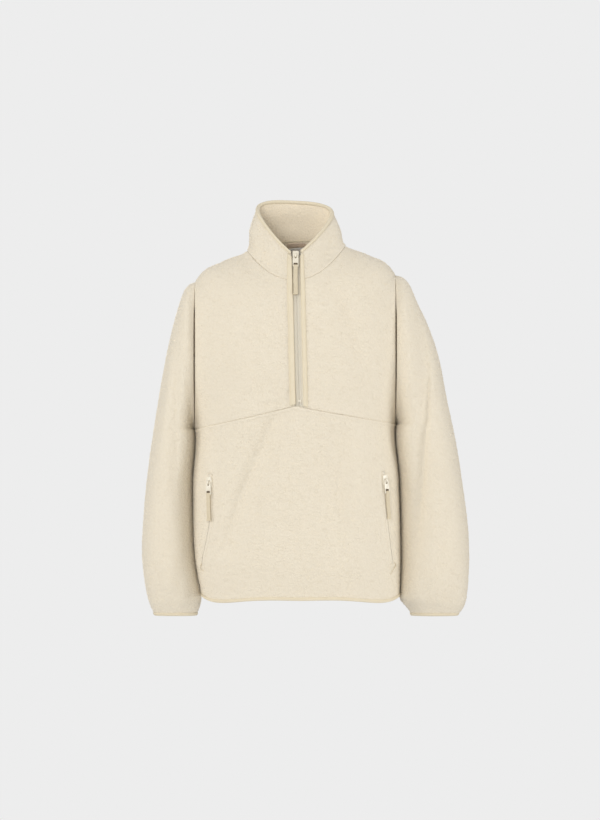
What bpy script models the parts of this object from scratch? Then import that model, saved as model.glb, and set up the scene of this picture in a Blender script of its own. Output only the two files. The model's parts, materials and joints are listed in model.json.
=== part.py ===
# A half-zip fleece pullover with a stand collar, filled out as if worn, with nobody in it.
# The garment faces -Y, +X is the picture's right, and the origin is on the centre plane
# at the height where the shoulders carry it. All sizes below are millimetres.
import math
from collections import namedtuple

import bmesh
import bpy
import numpy as np
from mathutils import Vector

MM = 0.001

# Cloth
FLEECE = 3.0            # fleece wall, pile included
SEAM_GAP = 0.3          # between pieces that are sewn edge to edge
BINDING = 1.2           # binding cloth round an edge
BINDING_EASE = 0.6      # its gap where the edge curves: the collar and the front's edges
TAPE = 1.0              # zip tape
SHARP_ANGLE = 40.0      # edges turned more than this stay sharp

# Zip line on the front: its centre drifts a little to the right on its way down
ZIP_TOP_X, ZIP_TOP_Z = -5.0, -3.0
ZIP_END_X, ZIP_END_Z = 2.0, -285.0
PANEL_EDGE = 9.0        # from the zip's centre to the cut edge of the front
BINDING_REACH = {"left": 19.5, "right": 16.6}   # from the zip's centre to the binding's side
BINDING_BACK = 5.0      # how far the same bindings reach in on the wrong side
BINDING_TOP = 8.74      # level at which the zip's bindings meet the collar's
BINDING_BOTTOM = 3.02   # level just above the chest seam, where they end

# Bindings round the other cut edges: how far they reach in from the edge
EdgeBinding = namedtuple("EdgeBinding", "face back")
EDGE_BINDINGS = {
    "hem": EdgeBinding(4.8, 3.6),
    "cuff": EdgeBinding(4.6, 3.6),
    "collar": EdgeBinding(5.2, 4.2),
}

# Armhole: the flat loop that a plane this far from the body's middle cuts from its rings
ARMHOLE_HALF = 186.0

# Levels of the body and collar, each the index of a row in RINGS
HEM, CHEST, SHOULDER, NECK, COLLAR_TOP = 0, 3, 5, 7, 9
HEM_DIP = 9.0           # the hem hangs lower between the side and the middle

# One row for each level: a closed ring round the body. The powers shape its plan:
# 1 is an ellipse, below 1 is squarer, above 1 is drawn to a point at the middle.
# Tilt is its rise towards +X, and rake its rise towards the back on top of the heights.
Ring = namedtuple("Ring", "mid_x half_x side_y side_z front_y front_z back_y back_z tilt "
                          "rake front_px front_py back_px back_py front_bow back_bow")
RINGS = (
    # mid_x half side_y side_z front_y,z  back_y,z  tilt  rake  powers                  bows
    Ring(4.0, 184, 0, -636, -106, -642, 100, -642, .000, .00, .58, .58, .62, .62, 1.2, 1.2),
    Ring(-1.5, 191, 0, -560, -119, -560, 111, -560, .008, .00, .58, .58, .62, .62, 1.2, 1.2),
    Ring(-4.5, 191, 2, -430, -123, -415, 117, -430, .018, .00, .60, .60, .64, .64, 1.0, 1.2),
    Ring(-6.0, 186, 5, -326, -125, -288, 119, -326, .027, .00, .66, .66, .70, .70, 0.9, 1.2),
    Ring(-6.0, 213, 5, -190, -123, -213, 115, -190, .032, .00, .74, .74, .76, .76, 1.4, 1.2),
    Ring(-6.0, 186, 5, -48, -115, -138, 99, -62, .037, .00, .88, .83, .88, .83, 1.8, 1.6),
    Ring(-5.0, 136, 6, -14, -105, -92, 82, -12, .042, .00, .98, .88, .90, .83, 2.0, 1.8),
    Ring(-4.0, 92, 8, 5, -93, -56, 62, 20, .048, .00, 1.25, 1.0, .80, .75, 2.1, 2.0),
    Ring(-6.5, 84, 14, 41, -84, -16, 60, 49, .000, .18, 1.50, 1.0, .68, .68, 1.6, 2.5),
    Ring(-7.0, 70, 20, 76, -71, 23, 56, 79, -.050, .35, 1.60, 1.0, .58, .64, 1.2, 3.0),
)

# Rows of the panels between those levels
BODY_ROWS = (0.0, 0.15, 0.5, 1.0, 1.35, 1.7, 2.0, 2.25, 2.5, 2.75, 3.0)
ARMHOLE_STEPS = 10
SHOULDER_ROWS = (5.0, 5.4, 5.8, 6.2, 6.6, 7.0)
COLLAR_ROWS = (7.0, 7.5, 8.0, 8.5, 9.0)
FRONT_COLUMNS = 10      # from the side to the strip beside the zip
ZIP_STRIP = 21.0        # from the zip's centre to the last of those columns
BACK_COLUMNS = 24       # from side to side
EDGE_STEP = 0.06        # from a cut edge to the level that tells the way into the cloth
LEVEL_CLEAR = 0.03      # least step from a strip's end to its next level

# Sleeves: rings from the armhole to the cuff. Outer and inner are the ends of a ring
# as seen from the front, and x counts away from the body's middle plane.
Sleeve = namedtuple("Sleeve", "outer_x outer_z inner_x inner_z mid_y half_y")
SLEEVES = {
    "left": (
        Sleeve(192.3, -55.5, 192.3, -331.0, 5, 76),
        Sleeve(204.0, -67.0, 195.3, -333.0, 4, 86),
        Sleeve(215.0, -84.0, 196.8, -335.5, 3, 90),
        Sleeve(228.0, -122.0, 197.6, -339.0, 2, 92),
        Sleeve(240.0, -170.0, 198.0, -345.0, 1, 91),
        Sleeve(251.0, -225.0, 198.4, -357.0, 0, 89),
        Sleeve(262.0, -290.0, 198.8, -378.0, -1, 86),
        Sleeve(273.0, -360.0, 199.2, -408.0, -3, 82),
        Sleeve(282.0, -430.0, 199.6, -450.0, -5, 77),
        Sleeve(288.0, -500.0, 199.6, -505.0, -8, 71),
        Sleeve(290.5, -560.0, 198.4, -558.0, -10, 65),
        Sleeve(286.0, -610.0, 194.0, -603.0, -12, 58),
        Sleeve(279.0, -647.0, 185.0, -640.0, -13, 47),
        Sleeve(272.0, -666.0, 184.5, -660.0, -13, 36),
        Sleeve(267.0, -676.5, 189.5, -676.5, -13, 28),
    ),
    "right": (
        Sleeve(180.3, -41.5, 180.3, -321.0, 5, 76),
        Sleeve(194.0, -52.0, 183.3, -323.0, 3, 86),
        Sleeve(207.0, -68.0, 184.8, -325.5, 1, 91),
        Sleeve(222.0, -100.0, 185.8, -329.0, -2, 94),
        Sleeve(242.0, -143.0, 186.8, -335.0, -4, 94),
        Sleeve(261.0, -202.0, 187.8, -348.0, -6, 92),
        Sleeve(275.0, -275.0, 189.0, -370.0, -8, 88),
        Sleeve(291.0, -350.0, 190.4, -402.0, -10, 83),
        Sleeve(303.0, -425.0, 191.8, -447.0, -12, 77),
        Sleeve(313.0, -500.0, 193.0, -505.0, -14, 71),
        Sleeve(316.5, -560.0, 193.6, -560.0, -16, 65),
        Sleeve(315.0, -612.0, 193.0, -606.0, -17, 58),
        Sleeve(311.0, -648.0, 194.0, -642.0, -18, 47),
        Sleeve(304.0, -666.0, 202.0, -661.0, -18, 36),
        Sleeve(294.5, -676.5, 209.8, -676.5, -18, 28),
    ),
}
SLEEVE_RINGS = 19       # rings built from the rows above
SLEEVE_STEPS = 20       # turns in each ring
ARMHOLE_FADE = 3.0      # rows over which a sleeve leaves the armhole's own outline
ARMPIT_EASE = 1.2       # the seam's extra gap at the armpit, where body and sleeve face

# Soft folds: troughs followed by points (x, z) seen from the front or the back
Fold = namedtuple("Fold", "face width depth points")
BODY_FOLDS = (
    Fold("front", 27, 7.0, ((-43, -300), (-101, -438), (-132, -538))),
    Fold("front", 26, 5.0, ((80, -346), (69, -461), (80, -564))),
    Fold("front", 22, 5.0, ((66, -70), (92, -148), (127, -263))),
    Fold("back", 28, 7.0, ((-30, -170), (-88, -330), (-120, -520))),
    Fold("back", 26, 6.0, ((48, -240), (82, -400), (70, -560))),
    Fold("back", 20, 4.0, ((120, -150), (96, -250), (104, -330))),
)
SLEEVE_FOLDS = {
    "left": (
        Fold("front", 15, 5.0, ((221, -107), (226, -200), (230, -380))),
        Fold("back", 18, 7.0, ((222, -120), (238, -300), (240, -500))),
    ),
    "right": (
        Fold("front", 19, 9.0, ((204, -75), (228, -148), (238, -226), (236, -357), (228, -475),
                                (219, -560))),
        Fold("back", 18, 7.0, ((226, -120), (246, -300), (250, -520))),
    ),
}

# Zip sliders and pulls, in their own frame: across, down the zip, and out from the cloth.
# Down and out count from the hinge axis for a pull, and from the plate's back for a slider.
SLIDER = {"half_width": 5.8, "taper": 0.78, "taper_start": -2.0, "above": 10.0, "below": 9.0,
          "thick": 2.6}
BRIDGE = {"half_width": 1.3, "inner": 2.6, "outer": 4.4, "space": 3.0, "thick": 1.1}
HINGE_RISE = 1.7        # hinge axis above the slider's plate
TAB = {"half_width": 5.4, "half_thick": 0.7, "half_eye": 2.7, "eye_end": 6.3,
       "half_slot": 4.3, "slot_start": 15.6, "slot_end": 20.4, "end": 24.0}
RIBBON = {"half_width": 3.9, "half_clear": 1.05, "thick": 0.8, "fold": 19.25, "loop_end": 24.4,
          "flat": 34.0, "squeeze": 0.55, "bar": 3.6, "bar_step": 0.3, "bar_scale": 0.85,
          "bar_wide": 1.1}
BEVEL = 0.25            # on the edges of sliders and tabs
NECK_PULL_LIFT = 3.4    # the neck pull's lower end stands this far off the front
Pull = namedtuple("Pull", "hinge_x hinge_z ribbon_end lean plate_out")
PULLS = {
    "neck": Pull(-5.3, -11.0, 80.0, 0.0, -2.9),
    "pocket_left": Pull(-162.8, -429.0, 71.0, 1.2, 1.2),
    "pocket_right": Pull(158.2, -425.5, 71.5, 5.6, 1.2),
}

# Zip tapes behind the bindings, and the stop at the zip's lower end
TAPE_COLUMNS = (SEAM_GAP / 2, 8.0, 16.0)        # from the zip's centre to the tape's edge
TAPE_CLEAR = 0.4        # between a binding's back and the tape
TAPE_BACK = FLEECE + BINDING_EASE + BINDING + TAPE_CLEAR
TAPE_TOP, TAPE_BOTTOM = 8.72, 2.9
ZIP_STOP = {"half_width": 3.4, "half_length": 2.2, "thick": 1.4, "level": 3.1}

# Pocket zips: the route of each strip on the lower front, from its top end
POCKET_ROUTES = {
    "left": ((-163.6, -414), (-162.6, -455), (-163.0, -500), (-169.0, -537), (-175.5, -566),
             (-176.8, -580)),
    "right": ((157.0, -410), (160.0, -455), (163.5, -500), (167.8, -537), (171.2, -564),
              (172.8, -578)),
}
POCKET_ZIP_HALF = 3.2
POCKET_ZIP_TOP = 0.9    # its face above the cloth
POCKET_STATIONS = 12

# Neck label and hanger loop, on the inside of the back
Strip = namedtuple("Strip", "middle_x half_width low_level high_level thick finish")
INSIDE_STRIPS = {
    "neck_label": Strip(-4.6, 15.0, 6.05, 6.60, 0.8, "label"),
    "hanger_loop": Strip(-4.0, 17.0, 6.67, 6.90, 1.2, "loop"),
}
STRIP_POINTS = 4        # each way on a strip

MATERIALS = {
    # name: (colour, roughness, metallic)
    "fleece": ((0.84, 0.765, 0.62), 0.95, 0.0),
    "binding": ((0.80, 0.70, 0.49), 0.75, 0.0),
    "zip_tape": ((0.84, 0.79, 0.68), 0.70, 0.0),
    "zip_metal": ((0.86, 0.82, 0.70), 0.40, 0.2),
    "ribbon": ((0.82, 0.73, 0.55), 0.70, 0.0),
    "label": ((0.92, 0.91, 0.89), 0.60, 0.0),
    "loop": ((0.78, 0.66, 0.55), 0.70, 0.0),
}


# ---- curves through the rows of a table

def through_rows(rows, position):
    """The table's row at a position between rows, on a smooth curve through them."""
    last = len(rows) - 1
    start = min(int(max(position, 0.0)), last - 1)
    part = position - start
    before, here, there, after = (np.array(rows[min(max(i, 0), last)], float)
                                  for i in (start - 1, start, start + 1, start + 2))
    if start == 0:
        before = 2 * here - there
    if start + 1 == last:
        after = 2 * there - here
    bend = 2 * before - 5 * here + 4 * there - after
    twist = 3 * here - before - 3 * there + after
    values = here + 0.5 * part * ((there - before) + part * (bend + part * twist))
    return type(rows[0])(*values)


def fold_depth(folds, face, x, z):
    """How deep the folds on one face press in at a point seen from that face."""
    total = 0.0
    for fold in folds:
        if fold.face != face:
            continue
        nearest = min(segment_distance(x, z, a, b) for a, b in zip(fold.points, fold.points[1:]))
        total += fold.depth * math.exp(-(nearest / fold.width) ** 2)
    return total


def segment_distance(x, z, start, end):
    along = ((x - start[0]) * (end[0] - start[0]) + (z - start[1]) * (end[1] - start[1]))
    length = (end[0] - start[0]) ** 2 + (end[1] - start[1]) ** 2
    part = min(max(along / length, 0.0), 1.0)
    return math.hypot(x - start[0] - part * (end[0] - start[0]),
                      z - start[1] - part * (end[1] - start[1]))


def normal_of(surface, u, v, du, dv):
    """The outward normal of surface(u, v), whose v turns from right to back to left."""
    along_u = surface(u + du, v) - surface(u - du, v)
    along_v = surface(u, v + dv) - surface(u, v - dv)
    normal = np.cross(along_v, along_u)
    return normal / np.linalg.norm(normal)


# ---- the body and collar as one surface: a level, and an angle with the front at -90 degrees

def armhole_angle(level, face="front"):
    """Angle from the side to the armhole's edge, nothing below and above the armhole."""
    if not CHEST < level < SHOULDER:
        return 0.0
    ring = through_rows(RINGS, level)
    power = ring.front_px if face == "front" else ring.back_px
    return math.acos(min(ARMHOLE_HALF / ring.half_x, 1.0) ** (1.0 / power))


def body_point(level, angle):
    ring = through_rows(RINGS, level)
    front = math.sin(angle) < 0.0
    px, py = (ring.front_px, ring.front_py) if front else (ring.back_px, ring.back_py)
    middle_y, middle_z, bow = ((ring.front_y, ring.front_z, ring.front_bow) if front
                               else (ring.back_y, ring.back_z, ring.back_bow))
    across = abs(math.cos(angle)) ** px
    deep = abs(math.sin(angle)) ** py
    x = math.copysign(ring.half_x * across, math.cos(angle))
    y = ring.side_y + (middle_y - ring.side_y) * deep
    z = middle_z + (ring.side_z - middle_z) * across ** bow
    z += ring.tilt * x + ring.rake * (y - ring.side_y)
    z -= HEM_DIP * max(1.0 - level, 0.0) ** 2 * math.sin(2 * angle) ** 2
    x += ring.mid_x
    if level < NECK:
        face = "front" if front else "back"
        pressed = fold_depth(BODY_FOLDS, face, x, z) * deep ** 2
        y += pressed if front else -pressed
    return np.array((x, y, z))


def body_normal(level, angle):
    return normal_of(body_point, level, angle, 0.02, math.radians(1.5))


def angle_at_x(level, x, face="front"):
    """The angle on the front or the back at which a level passes x."""
    ring = through_rows(RINGS, level)
    share = (x - ring.mid_x) / ring.half_x
    share = min(max(share, -1.0), 1.0)
    power = ring.front_px if face == "front" else ring.back_px
    turn = math.acos(abs(share) ** (1.0 / power))
    turn = turn if share >= 0 else math.pi - turn
    return -turn if face == "front" else turn


def at_x(level, x, face="front"):
    """The point and the outward normal of the body at a level and x."""
    angle = angle_at_x(level, x, face)
    return body_point(level, angle), body_normal(level, angle)


def zip_x(level):
    """The zip's centre line at a level of the front."""
    ring = through_rows(RINGS, max(level, CHEST))
    z = ring.front_z + ring.rake * (ring.front_y - ring.side_y)
    part = (z - ZIP_TOP_Z) / (ZIP_END_Z - ZIP_TOP_Z)
    return ZIP_TOP_X + (ZIP_END_X - ZIP_TOP_X) * min(max(part, 0.0), 1.0)


def front_level(x, z):
    """The level at which the front passes a height z at x."""
    low, high = 0.0, float(COLLAR_TOP)
    for _ in range(40):
        middle = 0.5 * (low + high)
        if body_point(middle, angle_at_x(middle, x))[2] < z:
            low = middle
        else:
            high = middle
    return 0.5 * (low + high)


def armhole_rows():
    """Levels through the armhole, close together at the armpit and the shoulder."""
    return [CHEST + (SHOULDER - CHEST) * (1 - math.cos(math.pi * i / ARMHOLE_STEPS)) / 2
            for i in range(ARMHOLE_STEPS + 1)]


def front_angles(level, side):
    """Angles from the side edge to the zip on one half of the front."""
    sign = 1 if side == "right" else -1
    strip, zip_edge = (angle_at_x(level, zip_x(level) + sign * reach)
                       for reach in (ZIP_STRIP, PANEL_EDGE))
    edge = -armhole_angle(level) if side == "right" else armhole_angle(level) - math.pi
    across = [edge + (strip - edge) * i / FRONT_COLUMNS for i in range(FRONT_COLUMNS + 1)]
    return across + [zip_edge]


def back_angles(level):
    edge = armhole_angle(level, "back")
    return [edge + (math.pi - 2 * edge) * i / BACK_COLUMNS for i in range(BACK_COLUMNS + 1)]


# ---- sleeves: a row and a turn, which is 0 at the shoulder, 90 in front and 180 at the armpit

def plain_sleeve_ring(side, row, turn):
    ring = through_rows(SLEEVES[side], row)
    sign = 1 if side == "right" else -1
    outer = np.array((sign * ring.outer_x, ring.mid_y, ring.outer_z))
    inner = np.array((sign * ring.inner_x, ring.mid_y, ring.inner_z))
    return ((outer + inner) / 2 + (outer - inner) / 2 * math.cos(turn)
            - np.array((0.0, ring.half_y, 0.0)) * math.sin(turn))


def armhole_point(side, turn):
    """A point on the edge of the body's armhole."""
    level = CHEST + (SHOULDER - CHEST) * (1 + math.cos(turn)) / 2
    front = math.sin(turn) > 0.0
    edge = -armhole_angle(level) if front else armhole_angle(level, "back")
    return body_point(level, edge if side == "right" else math.pi - edge)


def sleeve_point(side, row, turn):
    point = plain_sleeve_ring(side, row, turn)
    fade = max(1.0 - row / ARMHOLE_FADE, 0.0) ** 2
    if fade > 0.0:
        point = point + fade * (armhole_point(side, turn) - plain_sleeve_ring(side, 0.0, turn))
    face = "front" if math.sin(turn) > 0 else "back"
    away = min(row / 2.0, 1.0)
    pressed = fold_depth(SLEEVE_FOLDS[side], face, abs(point[0]), point[2])
    point[1] += math.copysign(pressed * away * math.sin(turn) ** 2, math.sin(turn))
    return point


def sleeve_normal(side, row, turn):
    last = len(SLEEVES[side]) - 1
    low, high = max(row - 0.05, 0.0), min(row + 0.05, last)
    along = sleeve_point(side, high, turn) - sleeve_point(side, low, turn)
    step = math.radians(2.0)
    around = sleeve_point(side, row, turn + step) - sleeve_point(side, row, turn - step)
    normal = np.cross(around, along) * (1 if side == "right" else -1)
    if row == 0.0:
        normal[0] = 0.0     # the cut edge stays in the armhole's plane
    return normal / np.linalg.norm(normal)


# ---- meshes

def material(name):
    found = bpy.data.materials.get(name)
    if found:
        return found
    colour, roughness, metallic = MATERIALS[name]
    made = bpy.data.materials.new(name)
    made.use_nodes = True
    shader = made.node_tree.nodes["Principled BSDF"]
    shader.inputs["Base Color"].default_value = (*colour, 1.0)
    shader.inputs["Roughness"].default_value = roughness
    shader.inputs["Metallic"].default_value = metallic
    return made


def add_object(name, vertices, faces, finish):
    mesh = bpy.data.meshes.new(name)
    mesh.from_pydata([Vector(v) * MM for v in vertices], [], faces)
    mesh.validate()
    work = bmesh.new()
    work.from_mesh(mesh)
    bmesh.ops.recalc_face_normals(work, faces=work.faces)
    work.to_mesh(mesh)
    work.free()
    mesh.shade_smooth()
    mesh.set_sharp_from_angle(angle=math.radians(SHARP_ANGLE))
    mesh.materials.append(material(finish))
    made = bpy.data.objects.new(name, mesh)
    bpy.context.scene.collection.objects.link(made)
    return made


def wall(name, outer, normals, thick, finish):
    """A closed wall from a grid of outer points, thickened inwards along their normals."""
    rows, columns = len(outer), len(outer[0])
    inner = [[p - thick * n for p, n in zip(line, turned)] for line, turned in zip(outer, normals)]
    vertices = [p for grid in (outer, inner) for line in grid for p in line]
    under = rows * columns
    faces = []
    for r in range(rows - 1):
        for c in range(columns - 1):
            a, b = r * columns + c, (r + 1) * columns + c
            quad = (a, a + 1, b + 1, b)
            faces.append(quad)
            faces.append(tuple(under + i for i in reversed(quad)))
    rims = [(r * columns + c, r * columns + c + 1) for r in (0, rows - 1)
            for c in range(columns - 1)]
    rims += [(r * columns + c, (r + 1) * columns + c) for c in (0, columns - 1)
             for r in range(rows - 1)]
    faces += [(a, b, under + b, under + a) for a, b in rims]
    return add_object(name, vertices, faces, finish)


def draw_in(points, distance, ends=True, sides=True):
    """Moves a grid's border inside its own outline, which leaves the gap of a seam."""
    def step(point, neighbour):
        way = neighbour - point
        return point + way * (distance / np.linalg.norm(way))
    moved = [[p.copy() for p in line] for line in points]
    if ends:
        for edge, beside in ((0, 1), (-1, -2)):
            for c in range(len(points[0])):
                moved[edge][c] = step(moved[edge][c], points[beside][c])
    if sides:
        for r in range(len(points)):
            for edge, beside in ((0, 1), (-1, -2)):
                moved[r][edge] = step(moved[r][edge], points[r][beside])
    return moved


def body_panel(name, levels, angles, ends=True):
    """A panel of the body between levels, with angles(level) across it."""
    outer = [[body_point(level, angle) for angle in angles(level)] for level in levels]
    normals = [[body_normal(level, angle) for angle in angles(level)] for level in levels]
    return wall(name, draw_in(outer, SEAM_GAP / 2, ends=ends), normals, FLEECE, "fleece")


def sweep(name, stations, profile, finish, closed=False):
    """A profile of (out, up) points carried along stations of (point, out, up)."""
    count = len(profile)
    vertices = [point + out * a + up * b for point, out, up in stations for a, b in profile]
    spans = len(stations) if closed else len(stations) - 1
    faces = []
    for s in range(spans):
        near, far = s * count, ((s + 1) % len(stations)) * count
        for i in range(count):
            j = (i + 1) % count
            faces.append((near + i, near + j, far + j, far + i))
    if not closed:
        faces.append(tuple(range(count)))
        faces.append(tuple(reversed(range(len(vertices) - count, len(vertices)))))
    return add_object(name, vertices, faces, finish)


def edge_profile(reach, clear=SEAM_GAP):
    """A U round a cut edge: out from the cloth's face, up from the edge into the cloth."""
    back, far = -FLEECE - clear, clear + BINDING
    return ((clear, reach.face), (far, reach.face), (far, -far), (back - BINDING, -far),
            (back - BINDING, reach.back), (back, reach.back), (back, -clear), (clear, -clear))


def unit(vector):
    return vector / np.linalg.norm(vector)


# ---- the pieces

def make_panels():
    arm, shoulder = armhole_rows(), list(SHOULDER_ROWS)
    upper = arm + shoulder[1:]
    for side in ("left", "right"):
        body_panel(f"front_upper_{side}", upper, lambda level, s=side: front_angles(level, s))
    body_panel("front_lower", BODY_ROWS,
               lambda level: front_angles(level, "left") + front_angles(level, "right")[::-1])
    body_panel("back", list(BODY_ROWS) + upper[1:], back_angles)
    body_panel("collar", COLLAR_ROWS, collar_angles)


def collar_angles(level):
    """Right zip edge, right side, back, left side, left zip edge."""
    left = [angle + 2 * math.pi for angle in front_angles(level, "left")]
    return front_angles(level, "right")[:0:-1] + back_angles(level) + left[1:]


def make_sleeve(side):
    """A front and a back half, sewn along the top of the arm and under it, and the cuff's binding."""
    last = len(SLEEVES[side]) - 1
    rows = [last * (i / (SLEEVE_RINGS - 1)) for i in range(SLEEVE_RINGS)]
    turns = [2 * math.pi * i / SLEEVE_STEPS for i in range(SLEEVE_STEPS)]
    outer = [[sleeve_point(side, row, turn) for turn in turns] for row in rows]
    sign = 1 if side == "right" else -1
    for point, turn in zip(outer[0], turns):
        point[0] += sign * (SEAM_GAP + ARMPIT_EASE * (1 - math.cos(turn)) / 2)
    normals = [[sleeve_normal(side, row, turn) for turn in turns] for row in rows]
    for half, start in (("front", 0), ("back", SLEEVE_STEPS // 2)):
        columns = [(start + i) % SLEEVE_STEPS for i in range(SLEEVE_STEPS // 2 + 1)]
        points, turned = ([[line[c] for c in columns] for line in grid]
                          for grid in (outer, normals))
        wall(f"sleeve_{side}_{half}", draw_in(points, SEAM_GAP / 2, ends=False), turned, FLEECE,
             "fleece")
    end = [(outer[-1][i], normals[-1][i], unit(outer[-2][i] - outer[-1][i]))
           for i in range(len(turns))]
    sweep(f"cuff_binding_{side}", end, edge_profile(EDGE_BINDINGS["cuff"]), "binding",
          closed=True)


def edge_stations(level, beside, angles):
    """Stations of a sweep round one level: its points, and the ways out and into the cloth."""
    stations = []
    for angle in angles:
        point = body_point(level, angle)
        into = unit(body_point(beside, angle) - point)
        stations.append((point, body_normal(level, angle), into))
    return stations


def make_edge_bindings():
    hem = front_angles(HEM, "left") + front_angles(HEM, "right")[::-1] + back_angles(HEM)[1:-1]
    sweep("hem_binding", edge_stations(HEM, HEM + EDGE_STEP, hem),
          edge_profile(EDGE_BINDINGS["hem"]), "binding", closed=True)
    top = edge_stations(COLLAR_TOP, COLLAR_TOP - EDGE_STEP, collar_angles(COLLAR_TOP))
    sweep("collar_binding", top, edge_profile(EDGE_BINDINGS["collar"], BINDING_EASE), "binding")


def zip_levels(low, high):
    rows = armhole_rows() + list(SHOULDER_ROWS[1:]) + list(COLLAR_ROWS[1:])
    return [low] + [row for row in rows if low + LEVEL_CLEAR < row < high - LEVEL_CLEAR] + [high]


def make_front_zip():
    for side, sign in (("left", -1), ("right", 1)):
        stations, tape, normals = [], [], []
        for level in zip_levels(BINDING_BOTTOM, BINDING_TOP):
            point, normal = at_x(level, zip_x(level) + sign * PANEL_EDGE)
            beside, _ = at_x(level, zip_x(level) + sign * ZIP_STRIP)
            stations.append((point, normal, unit(beside - point)))
        reach = EdgeBinding(BINDING_REACH[side] - PANEL_EDGE, BINDING_BACK)
        sweep(f"zip_binding_{side}", stations, edge_profile(reach, BINDING_EASE), "binding")
        for level in zip_levels(TAPE_BOTTOM, TAPE_TOP):
            places = [at_x(level, zip_x(level) + sign * across) for across in TAPE_COLUMNS]
            tape.append([point - TAPE_BACK * normal for point, normal in places])
            normals.append([normal for _, normal in places])
        wall(f"zip_tape_{side}", tape, normals, TAPE, "zip_tape")
    point, normal = at_x(ZIP_STOP["level"], zip_x(ZIP_STOP["level"]))
    above, _ = at_x(ZIP_STOP["level"] + 0.1, zip_x(ZIP_STOP["level"] + 0.1))
    frame = (point - (TAPE_BACK - SEAM_GAP) * normal, unit(point - above), normal)
    half, length, thick = ZIP_STOP["half_width"], ZIP_STOP["half_length"], ZIP_STOP["thick"]
    cells("zip_stop", frame, (-half, half), (-length, length), (0, thick), lambda *_: True,
          "zip_metal")


def cells(name, frame, across, down, out, solid, finish, shape=None, bevel=BEVEL):
    """One body from the solid cells of a grid, set in a frame of (origin, down, out).

    solid(i, j, k) tells which cells are filled, and shape(u, v, w) bends their corners."""
    origin, down_way, out_way = frame
    down_way = unit(down_way)
    across_way = unit(np.cross(down_way, out_way))
    out_way = np.cross(across_way, down_way)
    grid = (across, down, out)
    filled = {(i, j, k) for i in range(len(across) - 1) for j in range(len(down) - 1)
              for k in range(len(out) - 1) if solid(i, j, k)}
    vertices, places, faces = [], {}, []

    def corner(key):
        if key not in places:
            u, v, w = (grid[axis][key[axis]] for axis in range(3))
            if shape:
                u, v, w = shape(u, v, w)
            places[key] = len(vertices)
            vertices.append(origin + u * across_way + v * down_way + w * out_way)
        return places[key]

    for cell in sorted(filled):
        for axis in range(3):
            for step in (0, 1):
                beside = list(cell)
                beside[axis] += 2 * step - 1
                if tuple(beside) in filled:
                    continue
                b, c = (axis + 1) % 3, (axis + 2) % 3
                face = []
                for db, dc in ((0, 0), (1, 0), (1, 1), (0, 1)):
                    key = list(cell)
                    key[axis] += step
                    key[b] += db
                    key[c] += dc
                    face.append(corner(tuple(key)))
                faces.append(tuple(face))
    made = add_object(name, vertices, faces, finish)
    if bevel:
        soften = made.modifiers.new("edges", "BEVEL")
        soften.width = bevel * MM
        soften.segments = 1
        soften.limit_method = "ANGLE"
        soften.angle_limit = math.radians(SHARP_ANGLE)
    return made


def pull_frame(name):
    """Where a slider sits: its surface point, the way down its pull, and the way out."""
    pull = PULLS[name]
    level = front_level(pull.hinge_x, pull.hinge_z)
    point, normal = at_x(level, pull.hinge_x)
    if name == "neck":
        normal[0] = 0.0     # square to the zip, between its two edges
        normal = unit(normal)
        low = front_level(pull.hinge_x, pull.hinge_z - pull.ribbon_end)
        below, out_there = at_x(low, pull.hinge_x)
        down = unit(below + NECK_PULL_LIFT * out_there - point - normal)
        down[0] = 0.0
        return point, unit(down), normal
    lean = math.radians(pull.lean)
    across = unit(np.array((-normal[1], normal[0], 0.0)))
    down = math.sin(lean) * across - math.cos(lean) * np.array((0.0, 0.0, 1.0))
    return point, down, normal


def square_up(down, out):
    """The part of out that stands square to down."""
    return unit(out - np.dot(out, down) * down)


def make_slider(name):
    point, down, out = pull_frame(name)
    out = square_up(down, out)
    plate, bridge = SLIDER, BRIDGE
    base = point + PULLS[name].plate_out * out
    across = (-plate["half_width"], -bridge["half_width"], bridge["half_width"],
              plate["half_width"])
    along = (-plate["above"], -bridge["outer"], -bridge["inner"], bridge["inner"],
             bridge["outer"], plate["below"])
    top = plate["thick"]
    heights = (0.0, top, top + bridge["space"], top + bridge["space"] + bridge["thick"])

    def solid(i, j, k):
        return k == 0 or (i == 1 and ((k == 1 and j in (1, 3)) or (k == 2 and j in (1, 2, 3))))

    def shape(u, v, w):
        part = (v - plate["taper_start"]) / plate["below"]
        narrow = 1 - (1 - plate["taper"]) * min(max(part, 0.0), 1.0)
        wide = abs(u) > bridge["half_width"]
        return (u * narrow if wide else u), v, w

    cells(f"{name}_slider", (base, down, out), across, along, heights, solid, "zip_metal", shape)
    return base + (top + HINGE_RISE) * out, down, out


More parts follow.
